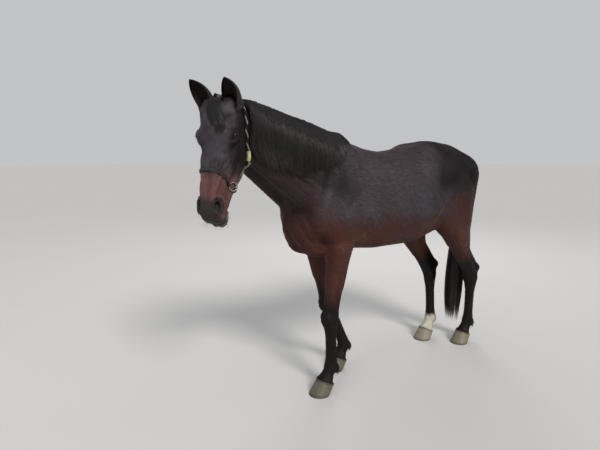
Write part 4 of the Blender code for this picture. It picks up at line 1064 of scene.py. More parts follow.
def hair_material(name, root, end, worn):
    """Long hair: each lock its own shade from root to worn end, with fine strands."""
    shade = Shade(name, Specular_IOR_Level=0.28)
    tip, own = shade.attribute("tip"), shade.attribute("own")
    strands = shade.noise(1.0, 3.0, shade.attribute("strand", "Vector"), (1.0, 1.0, 0.06))
    colour = shade.mix((tip * 1.1 + strands * 0.4 - 0.25).clamped(), root, end)
    colour = shade.mix(((tip - 0.72) * 3.0 * own).clamped(), colour, worn)
    return shade.done(shade.tinted(colour, (0.55 + own * 0.8) * (0.7 + strands * 0.6)),
                      0.32 + strands * 0.25, (strands, 0.0012))


def ear_material():
    """Short dark coat outside, paler bare skin inside, hair grain along the ear."""
    shade = Shade("ear", Specular_IOR_Level=0.15)
    grain = shade.noise(1.0, 3.0, shade.attribute("combed", "Vector"), (1500.0, 1500.0, 120.0))
    broad = shade.noise(60.0, 3.0)
    outside = shade.mix(broad, (0.010, 0.008, 0.008), (0.030, 0.023, 0.025))
    inside = shade.mix(broad, (0.016, 0.012, 0.012), (0.044, 0.031, 0.028))
    colour = shade.mix(shade.attribute("inner"), outside, inside)
    return shade.done(shade.tinted(colour, 0.65 + grain * 0.7), 0.45 + grain * 0.2, (broad, 0.0010), (grain, 0.0009))


def horn_material():
    """Hoof wall: growth rings, streaks down the wall, pale coronet band, dirty ground edge, and painted shade that
    darkens the fore hooves.
    """
    shade = Shade("horn", Specular_IOR_Level=0.4)
    height, around = shade.attribute("height"), shade.attribute("around", "Vector")
    streaks = shade.noise(1.0, 3.0, around, (26.0, 26.0, 1.2))
    rings = shade.noise(1.0, 2.0, around, (1.2, 1.2, 150.0))
    blots = shade.noise(70.0, 4.0)
    colour = shade.mix(streaks.ramp(0.35, 0.65), (0.100, 0.090, 0.062), (0.165, 0.148, 0.105))
    colour = shade.mix((shade.attribute("white") * 0.7).clamped(), colour, (0.235, 0.210, 0.155))
    colour = shade.mix(height.ramp(0.84, 0.97) * 0.75, colour, (0.050, 0.040, 0.032))
    soil = (height.ramp(0.22, 0.02) + blots.ramp(0.56, 0.72) * 0.5).clamped() * 0.8
    colour = shade.mix(soil, colour, (0.036, 0.029, 0.021))
    # painted_hoof_shade darkens the fore hooves: painted shade
    return shade.done(shade.tinted(colour, (0.78 + rings * 0.45) * (1.0 - shade.attribute("painted_hoof_shade") * 0.42)),
                      0.38 + blots * 0.3, (blots, 0.0012), (rings, 0.0022), (streaks, 0.0006))


def chestnut_material():
    """Dry grey-brown crust."""
    shade = Shade("chestnut")
    crust = shade.noise(260.0, 4.0)
    return shade.done(shade.mix(crust, (0.035, 0.026, 0.020), (0.115, 0.090, 0.068)), 0.6 + crust * 0.25,
                      (crust, 0.003))


def eye_material():
    """Dark brown iris with radial fibres and a long level pupil under a wet cornea, brown rim."""
    shade = Shade("eye", Coat_Weight=0.25, Coat_Roughness=0.03, Specular_IOR_Level=0.10)
    along, up, _ = shade.parts(shade.attribute("gaze", "Vector"))
    ring = ((along * along) + (up * up)) ** 0.5
    angle = shade.node("Math", {"operation": "ARCTAN2"}, {0: up, 1: along})
    fibres = shade.noise(2.0, 3.0, shade.node("CombineXYZ", None, {0: angle * 9.0, 1: ring * 1.5}))
    iris = shade.mix(fibres.ramp(0.3, 0.7), (0.004, 0.002, 0.0015), (0.014, 0.007, 0.004))
    pupil = ((along * along) * 2.9 + (up * up) * 9.0) ** 0.5
    colour = shade.mix(pupil.ramp(0.62, 0.50), iris, (0.0015, 0.002, 0.003))
    colour = shade.mix(ring.ramp(0.72, 0.80), colour, (0.012, 0.007, 0.006))
    colour = shade.mix(ring.ramp(0.90, 1.00), colour, (0.040, 0.020, 0.015))
    return shade.done(colour, 0.05 + ring.ramp(0.85, 1.0) * 0.1, (fibres, 0.0003))


def webbing_material(name, dark, pale, weave, metal=0.0):
    """Woven or twisted strap: ribs across it, threads along it, worn and dusty in places. With metal, the strand
    numbered from twenty on is pale, silver-grey thread whose colour also paints glints along the twist, and all are
    metallic in places."""
    shade = Shade(name, Specular_IOR_Level=0.3)
    strap = shade.attribute("strap", "Vector")
    ribs = shade.noise(1.0, 2.0, strap, (weave, weave * 0.25, weave))
    threads = shade.noise(1.0, 3.0, strap, (weave * 0.4, weave * 1.6, weave))
    dust = shade.noise(55.0, 4.0)
    worn, roughness = (dust.ramp(0.42, 0.68) * 0.7 + ribs * 0.25).clamped(), 0.6 + dust * 0.3
    if metal:
        # the strand from twenty on is pale: silver-grey thread and a painted glint along the twist, paler still where
        # worn
        worn = shade.parts(strap)[0].ramp(15.0, 16.0) * (0.5 + worn * 0.5)
        shade.set("Metallic", ribs.ramp(0.48, 0.60) * metal)
        roughness = 0.25 + dust * 0.4
    return shade.done(shade.tinted(shade.mix(worn, dark, pale), 0.6 + threads * 0.8), roughness,
                      (dust, 0.0006), (ribs, 0.0016), (threads, 0.0008))


def metal_material():
    """Worn plated steel: scratched, tarnished in the hollows."""
    shade = Shade("ring_metal", Metallic=1.0)
    tarnish = shade.noise(130.0, 4.0)
    scratches = shade.noise(900.0, 2.0, None, (1.0, 0.15, 1.0))
    return shade.done(shade.mix(tarnish.ramp(0.35, 0.7), (0.42, 0.40, 0.34), (0.12, 0.10, 0.07)),
                      0.18 + tarnish * 0.35 + scratches * 0.1, (tarnish, 0.0005), (scratches, 0.0002))


def lash_material():
    """Black lashes and feelers, browner towards their tips."""
    shade = Shade("lashes", Specular_IOR_Level=0.12)
    grain = shade.noise(700.0, 2.0)
    share = (shade.attribute("tip") * 0.7 + grain * 0.3).clamped()
    return shade.done(shade.mix(share, (0.006, 0.005, 0.005), (0.022, 0.016, 0.013)), 0.35 + grain * 0.2)


def floor_material():
    """Pale plain ground with the faintest mottling."""
    shade = Shade("floor", Specular_IOR_Level=0.2)
    cloud = shade.noise(0.8, 3.0)
    return shade.done(shade.mix(cloud, (0.470, 0.470, 0.470), (0.492, 0.492, 0.492)), 0.8 + cloud * 0.1)


# ---------------------------------------------------------------- lie, markings and painted sheen of the coat
NECK_ROOT = np.array([0.0, -0.10, 1.30])
NECK_WAY = unit(HEAD_ORIGIN - NECK_ROOT)            # from the withers to the poll


def wander(p, scale, seed):
    """Smooth noise from -1 to 1 as a function of place: a sum of turned waves."""
    chance = np.random.default_rng(seed)
    total = np.zeros(len(p))
    for octave in range(4):
        ways = chance.normal(size=(3, 3))
        shift = chance.uniform(0, 2 * np.pi, 3)
        total += np.sin(p @ ways.T * scale * 1.7**octave + shift).sum(1) / (3 * 1.5**octave)
    return np.clip(total, -1, 1)


def shares(p):
    """How far a point belongs to head, neck, legs and trunk: four columns that sum to one."""
    head = on_head(p)
    neck = ramp((p - NECK_ROOT) @ NECK_WAY, 0.02, 0.24) * ramp(p[:, 2], 1.08, 1.22) * (1 - head)
    legs = ramp(p[:, 2], 0.86, 0.66)
    return np.stack([head, neck, legs, 1 - np.clip(head + neck + legs, 0, 1)], 1)


COMBS = (np.stack([unit(HEAD_AXES[:, 0]), unit(HEAD_AXES[:, 2]), unit(HEAD_AXES[:, 1])], 1),
         np.stack([np.array([1.0, 0, 0]), unit(np.cross([1.0, 0, 0], NECK_WAY)), -NECK_WAY], 1),
         np.eye(3),
         np.array([[1, 0, 0], [0, 0.55, 0.835], [0, 0.835, -0.55]]).T)


def combed(p):
    """Place in axes whose third runs along the hair, for the grain of the coat."""
    weights = shares(p)
    return sum(weights[:, i, None] * (p @ comb) for i, comb in enumerate(COMBS))


def bell(p, centre, sizes):
    """1 at a centre, less all round it, next to nothing from twice the sizes on."""
    return np.exp(-(((p - centre) / sizes)**2).sum(1))


def lie(p, normal):
    """Unit direction in which the coat lies: down the face from a whorl, down the neck, back over the
    trunk, down the legs; turned a little by smooth noise."""
    weights = shares(p)
    across, down, out = in_head(p).T
    front = ramp(out, -0.10, -0.04)
    rise = np.clip((down - 0.150) / 0.05, -1, 1)
    local = np.stack([front * across / 0.05 * (0.35 + 0.9 * (1 - np.abs(rise))) + 1e-3,
                      front * (rise + 0.05) + (1 - front) * 0.85, (front - 1) * 0.5 - 0.05], 1)
    trunk = np.array([0, 0.80, -0.55]) + bell(p[:, 1:], (0.71, 1.16), (0.09, 0.16))[:, None] * (0, -0.75, -0.35)
    trunk = trunk + ramp(p[:, 2], 1.05, 0.88)[:, None] * (0, 0.0, 0.30)
    ways = (unit(local @ HEAD_AXES.T), unit(-NECK_WAY * 0.85 + (0, 0, -0.62)), unit(np.array([0, 0.16, -1.0])), trunk)
    total = unit(sum(weights[:, i, None] * way for i, way in enumerate(ways)))
    total = total + np.cross(normal, total) * (0.16 * wander(p, 9.0, 5) + 0.10 * wander(p, 31.0, 6))[:, None]
    return unit(total - (total * normal).sum(1)[:, None] * normal)


def body_marks(p, broad, fine):
    """Shares of red, tan, dark, painted sheen and white on neck, trunk and legs, from 0 to 1.
    The painted sheen is a painted highlight along the barrel and on the fore parts below it; white is the sock.
    """
    x, y, z = p.T
    fore = ramp(y, 0.10, -0.25)
    low = ramp(z + 0.05 * broad + 0.02 * fine, 1.16, 0.94)
    thigh = ramp(y, 0.72, 0.88) * ramp(z + 0.05 * broad, 1.30, 1.10)
    red = np.clip(low * (0.85 - 0.30 * fore) + 0.45 * fore * ramp(z + 0.06 * broad, 1.32, 1.00), 0, 1)
    inner = ramp(np.abs(x) - 0.13, 0.02, -0.03) * ramp(z, 0.50, 0.62) * ramp(y, 0.55, 0.75)
    off, on = (y - 0.71) * 0.761 - (z - 1.05) * 0.649, (y - 0.71) * 0.649 + (z - 1.05) * 0.761
    fold = np.exp(-((off + 0.010 * broad) / 0.022)**2 - (on / 0.11)**2)
    elbow = bell(p[:, 1:], (0.06, 0.92), (0.07, 0.08))
    knee = np.where(y < 0.5, 0.56, 0.66) + 0.03 * broad + 0.015 * fine
    legs = ramp(z, knee + 0.19, knee - 0.06)**1.3 * (z < 0.9)
    shoulder = ramp(y + 0.05 * broad, 0.06, -0.10) * ramp(z + 0.04 * broad + 0.35 * y, 1.14, 1.25)
    croup = ramp(y + 0.06 * broad, 0.62, 0.80) * ramp(z + 0.06 * broad, 1.16, 1.32)
    sock = (x < 0) * (y > 0.85) * ramp(z + 0.012 * fine + 0.008 * broad, 0.205, 0.150)
    # barrel: the stretch of the trunk that gets the painted highlight of the sheen
    barrel = ramp(y, -0.34, -0.16) * ramp(y, 0.90, 0.76) * ramp(z + 0.04 * broad, 0.96, 1.12)
    return {"red": np.maximum(red, thigh * 0.60),
            "tan": np.clip(0.75 * inner * ramp(z, 1.10, 0.95) + (0.70 + 0.35 * fine) * fold + 0.45 * elbow, 0, 1),
            "dark": np.max([legs, 0.70 * shoulder, 0.80 * croup], 0) * (1 - sock),
            "sheen": barrel * (0.58 + 0.30 * broad) + 0.35 * ramp(y, 0.10, -0.05) * ramp(z, 1.0, 0.9),
            "white": sock}


def face_marks(p, broad, fine):
    """Shares of painted sheen, dark, red, grey, muzzle colour, white and bare skin on the head, from 0 to 1.
    The sheen is a patchy painted reflection on the face front and the temples; white is a painted highlight along the
    lower lip.
    """
    place = in_head(p)
    place[:, 0] = np.abs(place[:, 0])
    across, down, out = place.T
    cheek = ramp(across - 0.30 * out + 0.006 * broad, 0.088, 0.122) * ramp(down, 0.42, 0.30)
    temple = bell(place, (0.080, 0.080, -0.035), (0.034, 0.060, 0.034))
    patchy = 0.72 + 0.35 * fine + 0.30 * wander(p, 60.0, 6)
    local = place - EYE_PLACE
    eyes = ramp(np.linalg.norm(local * (1, 0.8, 1.1), axis=1) + 0.003 * fine, 0.038, 0.024)
    outward, along, upward = (local @ axis for axis in eye_axes())
    height = upward / LID_HEIGHT
    margin = np.hypot(along / LID_LENGTH, height)
    lid = ramp(np.abs(margin - 1.45), 0.30, 0.15) * ramp(height, 0.3, -0.3) * (outward > 0)
    away = np.linalg.norm((place - NOSTRIL) * (1, 0.8, 1.25), axis=1)
    nostril = ramp(away + 0.005 * fine, 0.043, 0.022)
    lips = ramp(down + 0.010 * fine + 0.015 * ramp(out, -0.10, -0.12), 0.556, 0.600)
    front = (ramp(down + 0.020 * fine + 0.010 * broad, 0.455, 0.545) * ramp(out, -0.125, -0.085)
             * ramp(across + 0.008 * fine, 0.066, 0.034))
    upper = (0.30 * ramp(down, 0.09, 0.00) + 0.62 * cheek) * (1 - 0.8 * temple)
    # sheen: a patchy painted reflection over the face front and temples, less on the cheeks
    return {"sheen": (0.80 * (1 - cheek) + 0.45 * temple) * patchy,
            "dark": np.maximum(upper, eyes * 0.95) * (1 - 0.7 * lid),
            "red": 0.7 * lid,
            "grey": np.max([lips, nostril, 0.75 * front], 0),
            "muzzle": (ramp(down + 0.010 * broad + 0.010 * fine, 0.330, 0.392)
                       * (0.65 + 0.35 * ramp(across, 0.00, 0.045))),
            # white here is a painted highlight along the edge of the lower lip
            "white": 0.30 * np.exp(-((out + 0.135) / 0.0045)**2) * ramp(down, 0.545, 0.565),
            "bare": np.max([nostril, lips, ramp(eyes, 0.75, 1.0)], 0)}


def markings(p):
    """Share of each marking, of the painted sheen and of bare skin at places on the body, from 0 to 1."""
    head, broad, fine = on_head(p), wander(p, 5.0, 1), wander(p, 22.0, 2)
    body, face = body_marks(p, broad, fine), face_marks(p, broad, fine)
    found = {name: np.maximum((1 - head) * body.get(name, 0.0), head * face.get(name, 0.0))
             for name in (*MARKS, "bare")}
    # the painted sheen adds over head and body and is held back where the coat is tan
    found["sheen"] = np.clip((1 - head) * body["sheen"] + head * face["sheen"], 0, 1) * (1 - 0.8 * found["tan"])
    found["muzzle"] *= 1 - found["grey"]
    return found


# ---------------------------------------------------------------- tufts
HEAD_ROLL = (HEAD_ORIGIN, HEAD_AXES[:, 1], -HEAD_AXES[:, 0])    # cylinders for unwrap: origin, axis, front
NECK_ROLL = (NECK_ROOT + (0, 0, 0.12), NECK_WAY, (1, 0, 0))
TRUNK_ROLL = ((0, 0, 1.12), (0, 1, 0), (1, 0, 0))
PATCH = 0.003                       # of a tuft on the unwrap


def unwrap(p, origin, axis, front):
    """Place round an axis and along it, both from 0.03 to 0.97: the skin rolled off a cylinder."""
    axis = unit(np.array(axis, float))
    front = unit(np.array(front, float) - axis * np.dot(front, axis))
    away = p - np.array(origin)
    along = away @ axis
    angle = np.arctan2(away @ np.cross(axis, front), away @ front) / (2 * np.pi) + 0.5
    spread = (along - along.min()) / np.ptp(along)
    return 0.03 + 0.94 * np.stack([angle, spread], 1)


def strand_mesh(lines, across, normal, widths, thick):
    """Closed-sided three-cornered strands along many lines at once.

    lines, across and normal are strands x steps x 3; widths is strands x steps and is 0 at the tip, where
    the strand ends in one point. Returns points, triangles and the points of one strand."""
    count, steps = lines.shape[:2]
    half = widths[:, :-1, None] / 2
    body, side, out = lines[:, :-1], across[:, :-1], normal[:, :-1]
    rings = np.stack([body - side * half, body + out * half * 2 * thick, body + side * half], 2)
    points = np.concatenate([rings.reshape(count, -1, 3), lines[:, -1:]], 1)
    size = points.shape[1]
    last = (steps - 2) * 3
    faces = []
    for step in range(0, last, 3):
        for a, b in ((step, step + 1), (step + 1, step + 2), (step + 2, step)):
            faces += [(a, b, b + 3), (a, b + 3, a + 3)]
    faces += [(last + c, last + (c + 1) % 3, size - 1) for c in range(3)]
    faces = np.array(faces)[None] + (np.arange(count) * size)[:, None, None]
    return points.reshape(-1, 3), faces.reshape(-1, 3), size


def strand_normals(across, out, spread):
    """Shading directions of strands: out along the middle, turned aside by spread at both edges."""
    side, up = across[:, :-1] * spread, out[:, :-1]
    rings = np.stack([up - side, up, up + side], 2)
    return unit(np.concatenate([rings.reshape(len(out), -1, 3), out[:, -1:]], 1).reshape(-1, 3))


def patches(places, size, faces):
    """The OFBake map: each strand a small patch at its root's place."""
    steps = (size - 1) // 3
    corner = np.append(np.tile([-0.5, 0.0, 0.5], steps), 0.0)
    rise = np.append(np.repeat(np.linspace(0, 0.8, steps), 3), 1.0)
    spots = (places[:, None] + PATCH * np.stack([corner, rise], 1)[None]).reshape(-1, 2)
    return spots[faces.ravel()]


def coat_tufts(roots, normal, along, long, wide, deep, field, chance):
    """Short tufts that rise from the skin to just under the coat's outer surface and lie along it."""
    across = unit(np.cross(along, normal))
    lift = chance.uniform(0.0, 1.0, len(roots))
    line = np.stack([roots - normal * 0.0006, roots + along * (long * 0.5)[:, None],
                     roots + along * long[:, None]], 1)
    for step, (low, high) in ((1, (0.55, 0.18)), (2, (0.30, -0.04))):
        place = line[:, step]
        want = -deep * (low + (high - low) * lift)
        move = np.clip(want - field(place), -0.012, 0.010)
        line[:, step] = place + normal * move[:, None]
    width = wide[:, None] * np.array([0.75, 1.0, 0.0])
    across, out = np.repeat(across[:, None], 3, 1), np.repeat(normal[:, None], 3, 1)
    tilt = unit(out + 0.06 * chance.normal(size=(len(roots), 1, 3)))
    return *strand_mesh(line, across, out, width, 0.30), strand_normals(across, tilt, 0.35)


def coat_pieces(p, weights, x):
    """Name, number of tufts and which of some places, for each piece of the coat."""
    head = weights[:, 0] > 0.5
    neck = ~head & (weights[:, 1] > 0.5)
    trunk = (weights[:, :2].max(1) <= 0.5) & (weights[:, 2] <= 0.5)
    legs = weights[:, 2] > 0.5
    for title, counts, chosen, across in (
            ("head", (16000, 16000), head, x), ("neck", (6000, 8500), neck, x),
            ("trunk_fore", (13000, 13000), trunk & (p[:, 1] < TRUNK_SPLIT), x),
            ("trunk_rear", (14500, 14500), trunk & (p[:, 1] >= TRUNK_SPLIT), x),
            ("leg_fore", (6500, 6500), legs & (p[:, 1] < LEG_SPLIT), p[:, 0]),
            ("leg_hind", (7500, 7500), legs & (p[:, 1] >= LEG_SPLIT), p[:, 0])):
        yield title + "_left", counts[0], chosen & (across > 0)
        yield title + "_right", counts[1], chosen & (across <= 0)


def tuft_sizes(p, weights, chance):
    """Length and width of tufts by place: finest on the muzzle, round the eyes and down the legs."""
    _, down, out = in_head(p).T
    eyes = np.min([0.42 + 0.58 * ramp(np.linalg.norm(p - head_points(side, EYE_PLACE)[0], axis=1), 0.028, 0.065)
                   for side in (1, -1)], 0)
    head = (0.0135 - 0.0085 * ramp(down, 0.36, 0.56)) * eyes * (1 + 0.5 * ramp(out, -0.17, -0.22))
    legs = 0.011 + 0.010 * ramp(p[:, 2], 0.30, 0.66) + 0.004 * ramp(p[:, 2], 0.16, 0.10)
    trunk = 0.026 + 0.006 * ramp(p[:, 2], 1.00, 0.88)
    long = (weights * np.stack([head, np.full(len(p), 0.024), legs, trunk], 1)).sum(1)
    wide = long * (0.165 + 0.05 * weights[:, 2])
    return long * chance.uniform(0.75, 1.3, len(p)), wide * chance.uniform(0.7, 1.25, len(p))


def marked(places, points, size, tip, own):
    """Attributes of strands: along each, its own number, the grain, and the markings and painted sheen at its root.
    """
    marks = markings(places)
    return [("tip", np.tile(tip, len(places))), ("own", np.repeat(own, size)), ("combed", combed(points)),
            *((title, np.repeat(marks[title], size)) for title in MARKS)]


def coat_piece(name, roots, normal, chance, material, regions):
    """One piece of the coat from the roots of its tufts."""
    long, wide = tuft_sizes(roots, shares(roots), chance)
    along = lie(roots, normal)
    along = unit(along + np.cross(normal, along) * chance.normal(0, 0.10, len(roots))[:, None])
    points, faces, size, shading = coat_tufts(roots, normal, along, long, wide, coat_depth(roots),
                                              lambda p: depth(p, regions), chance)
    part = name.split("_")[0]
    rolls = {"head": HEAD_ROLL, "neck": NECK_ROLL, "trunk": TRUNK_ROLL, "leg": (roots.mean(0), (0, 0, 1), (0, -1, 0))}
    own = np.clip(0.5 + 0.25 * chance.normal(size=len(roots)) + 0.18 * wander(roots, 60.0, 8), 0, 1)
    tip = np.append(np.repeat([0.0, 0.5], 3), 1.0)
    add_piece("coat_" + name, points, faces, material, "points" if part == "leg" else "coat", (),
              marked(roots, points, size, tip, own),
              [("OFBake", patches(unwrap(roots, *rolls[part]), size, faces))], shading)


def scatter(points, triangles, normals, count, chance):
    """Evenly spread points on triangles by area, with their normals."""
    a, b, c = (points[triangles[:, i]] for i in range(3))
    total = np.cumsum(np.linalg.norm(np.cross(b - a, c - a), axis=1))
    picks = (np.arange(count) + chance.uniform(0, 1, count)) / count * total[-1]
    corners = triangles[np.minimum(np.searchsorted(total, picks), len(total) - 1)]
    u, v = chance.uniform(0, 1, (2, count))
    over = u + v > 1
    u, v = np.where(over, 1 - u, u), np.where(over, 1 - v, v)
    weights = np.stack([1 - u - v, u, v], 1)[..., None]
    return (points[corners] * weights).sum(1), unit((normals[corners] * weights).sum(1))


def make_coat():
    """All coat pieces over the skin; bare lips, nostrils and lids get none."""
    points, triangles, normals = the_skin()
    share = bpy.context.scene.horse.tuft_share * 1.0
    regions = detailed_body()
    material = tuft_material()
    middle = points[triangles].mean(1)
    weights = shares(middle)
    x = np.where(weights[:, 0] > 0.5, in_head(middle)[:, 0], np.where(
        weights[:, 1] > 0.5, (middle - NECK_ROOT) @ unit(np.cross([0, 0, 1.0], NECK_WAY)), middle[:, 0]))
    bare = markings(middle)["bare"] >= BARE_SHARE
    for number, (name, count, chosen) in enumerate(coat_pieces(middle, weights, x)):
        chance = np.random.default_rng(100 + number)
        roots, normal = scatter(points, triangles[chosen & ~bare], normals, int(count * share), chance)
        coat_piece(name, roots, normal, chance, material, regions)


# ---------------------------------------------------------------- ears, eyes, hooves
def ear_grid(side, arc=27, levels=30):
    """A leaf rolled round its axis: rows from root to tip, each outside one way and inside back again."""
    axes = HEAD_AXES / HEAD_SIZE
    axis = axes @ (unit(np.array(EAR_TILT)) * (side, 1, 1))
    opening = axes @ (np.array(EAR_OPENING[side]) * (side, 1, 1))
    opening = unit(opening - axis * (opening @ axis))
    across = np.cross(axis, opening)
    root = head_points(side, EAR_ROOT)[0] - axis * 0.018
    t = np.linspace(0, 1, levels)[:, None]
    radius = EAR_WIDTH / 2 * (0.62 + 0.75 * t)**0.5 * np.maximum(1 - t**2.2, 0.002)**0.9 + 0.002
    radius = radius + 0.008 * ramp(t, 0.20, 0.0)
    spread = np.radians(158 - 66 * np.minimum(t * 1.3, 1))
    angles = np.linspace(-1, 1, arc)[None] * spread
    wall = np.minimum(0.0042, radius * 0.45) * (0.35 + 0.65 * np.cos(angles / spread * np.pi / 2)**0.5)
    ribs = 0.0010 * np.sin(angles * 7.0) * np.sin(np.pi * t)
    bend = (0.012 * np.sin(np.pi * t) - 0.004 * t) * opening + axes[:, 0] * EAR_LEAN[side] * t * t
    rings = []
    for r, turns in ((radius + 0 * angles, angles), (radius - wall - ribs, angles)):
        rings.append(root + axis * EAR_LENGTH * t[..., None] - bend[:, None]
                     - opening * (r * np.cos(turns))[..., None] + across * (r * np.sin(turns))[..., None])
    return rings[0], rings[1], axis, opening


def make_ears():
    """Both ears: a double-walled shell, a fringe along the rim and hair across the opening."""
    for word, side in SIDES.items():
        outer, inner, axis, opening = ear_grid(side)
        rows, arc = outer.shape[:2]
        points, faces = with_ends(np.concatenate([outer, inner[:, ::-1]], 1).reshape(-1, 3), rows, 2 * arc)
        shade = np.append(np.tile(np.repeat([0.0, 1.0], arc), rows), [0, 0])
        along = points @ np.stack([np.cross(axis, opening), opening, axis], 1)
        add_piece("ear_" + word, points, faces[:, ::side], ear_material(), "points", ["ear_" + word],
                  [("inner", shade), ("combed", along)])
        chance = np.random.default_rng(40 + side)
        count = 900
        rim = chance.choice([0, arc - 1], count)
        deep = np.where(rim > 0, rim - chance.integers(0, 5, count), chance.integers(0, 5, count))
        level = chance.uniform(0.10, 0.93, count) * (rows - 1)
        low = level.astype(int)
        share = (level - low)[:, None]
        roots = inner[low, deep] * (1 - share) + inner[np.minimum(low + 1, rows - 1), deep] * share
        inward = unit(inner[low, arc // 2] - roots)
        way = unit(opening * 0.55 + axis * 0.85 + inward * -0.10 + chance.normal(0, 0.16, (count, 3)))
        way = unit(way + unit(inner[low, arc - 1] - inner[low, 0]) * np.where(rim > 0, -0.45, 0.45)[:, None])
        long = chance.uniform(0.008, 0.024, count) * (1 - 0.45 * level / rows)
        hairs("ear_hair_" + word, roots, way, opening + 0 * roots, long, 0.0012, 0.25, chance, 4, HEAD_ROLL, "points")


def hairs(name, roots, way, out, long, wide, droop, chance, steps, roll, slot_name, material=None):
    """A piece of separate fine hairs that start off one way and droop."""
    t = np.linspace(0, 1, steps + 1)[None, :, None]
    fall = np.array([0, 0, -1.0]) * droop
    lines = roots[:, None] + (way[:, None] * t + fall * t**2 * 0.6) * long[:, None, None]
    tangent = unit(np.gradient(lines, axis=1))
    across = unit(np.cross(tangent, out[:, None] + 0 * lines) + 1e-6)
    up = np.cross(across, tangent)
    widths = wide * (1 - t[..., 0]**1.5) * chance.uniform(0.7, 1.2, (len(roots), 1))
    points, faces, size = strand_mesh(lines, across, up, widths, 0.6)
    tip = np.append(np.repeat(np.linspace(0, 0.8, steps), 3), 1.0)
    add_piece(name, points, faces, material or bpy.data.materials.get("coat_tufts") or tuft_material(),
              slot_name, (), marked(roots, points, size, tip, chance.uniform(0, 1, len(roots))),
              [("OFBake", patches(unwrap(roots, *roll), size, faces))], strand_normals(across, unit(up), 0.6))


def ball_points(rows, columns):
    """A ball of radius one from its front pole along x to the back, row by row."""
    out, turns = np.meshgrid(np.linspace(0, np.pi, rows), np.linspace(0, 2 * np.pi, columns, endpoint=False),
                             indexing="ij")
    return np.stack([np.cos(out), np.sin(out) * np.cos(turns), np.sin(out) * np.sin(turns)], -1).reshape(-1, 3)


def make_eyes():
    """Eyeballs with a bulged cornea; gaze holds the place on the ball in the eye's own tilt."""
    material = eye_material()
    rows, columns = 49, 64
    ball = ball_points(rows, columns)
    ring = np.hypot(ball[:, 1], ball[:, 2])
    bulge = np.where(ball[:, 0] > 0, np.maximum(1 - (ring / CORNEA)**2, 0)**2, 0) * CORNEA_RISE
    size = (EYE_RADIUS / HEAD_SIZE - 0.0004 + bulge)[:, None]
    gaze = ball[:, [1, 2, 0]] + np.where(ball[:, :1] < 0, 2.0, 0.0)
    for word, side in SIDES.items():
        points = head_points(side, np.array(EYE_PLACE) + ball @ np.array(eye_axes()) * size)
        add_piece("eyeball_" + word, points, grid_faces(rows, columns)[:, ::side], material, "eye", ["eye_" + word],
                  [("gaze", gaze)])


def make_lashes():
    """Lashes on the upper lids and feelers round the eyes, lips and chin."""
    material = lash_material()
    for word, side in SIDES.items():
        chance = np.random.default_rng(60 + side)
        angles = np.radians(np.sort(chance.uniform(30, 160, 70)))
        roots = head_points(side, in_head(eye_outline(1, angles, 0.0215, 0.0155, 0.0022)))
        outward, downward, upward = unit(HEAD_AXES.T)
        way = unit(outward * side * 0.9 + upward * np.sin(angles)[:, None] * 0.15
                   + downward * np.cos(angles)[:, None] * 0.35 + chance.normal(0, 0.10, (70, 3)))
        hairs("lashes_" + word, roots, way, upward + 0 * roots, chance.uniform(0.006, 0.011, 70), 0.0006, 0.6,
              chance, 5, HEAD_ROLL, "hair", material)
        spots = []
        for count, low, high, middle in (
                (34, (0.005, 0.550, -0.12), (0.045, 0.600, -0.085), (0, 0, 0)),
                (34, (0.0, 0.520, -0.18), (0.030, 0.600, -0.15), (0, 0, 0)),
                (8, (0.0, -0.03, -0.042), (0.02, 0.03, -0.030), EYE_PLACE)):
            spots.append(middle + np.stack([chance.uniform(a, b, count) for a, b in zip(low, high)], 1))
        roots = settle(head_points(side, np.vstack(spots)), outline, 6, -0.001)
        normal = unit(slope(roots, outline))
        way = unit(normal + downward * 0.7 + chance.normal(0, 0.15, roots.shape))
        hairs("feelers_" + word, roots, way, normal, chance.uniform(0.018, 0.042, len(roots)), 0.0006, 0.35,
              chance, 5, HEAD_ROLL, "hair", material)


def hoof_points(name, turns=72, levels=30):
    """Points of one hoof wall from the ground up to the coronet, with rings, flare and a cleft heel."""
    centre = np.array(LEGS[name]["coronet"])
    sole_y = centre[1] + (HOOF_HEEL - HOOF_TOE) / 2
    angle = 2 * np.pi * np.arange(turns) / turns
    c, d = np.cos(angle)[None], np.sin(angle)[None]
    t = np.linspace(0, 1, levels)[:, None]
    rough = wander(np.stack(np.broadcast_arrays(0 * c, 0 * c, t * 0.8 + centre[0]), -1).reshape(-1, 3), 40.0, 9)
    ring = 1 + 0.006 * rough.reshape(levels, turns) + 0.016 * np.exp(-((t - 0.95) / 0.045)**2)
    ring = ring - 0.020 * ramp(t, 0.04, 0.0)
    ring = ring * (1 - 0.10 * np.exp(-((angle - np.pi / 2) / 0.16)**2)[None] * ramp(t, 1.0, 0.3))
    x = centre[0] + c * HOOF_WIDTH / 2 * (1 - 0.17 * t) * ring
    sole = sole_y + d * (HOOF_TOE + HOOF_HEEL) / 2 * np.where(d > 0, 0.90, 1.0) * ring
    y = sole + (centre[1] + d * CORONET_RADIUS * ring - sole) * t
    lean = (HOOF_TOE_HEIGHT - HOOF_HEEL_HEIGHT) / (2 * CORONET_RADIUS)
    z = np.maximum((centre[2] - 0.007 - d * CORONET_RADIUS * lean) * t, 0.0) + 0 * x
    return np.stack([x, y, z], -1), t


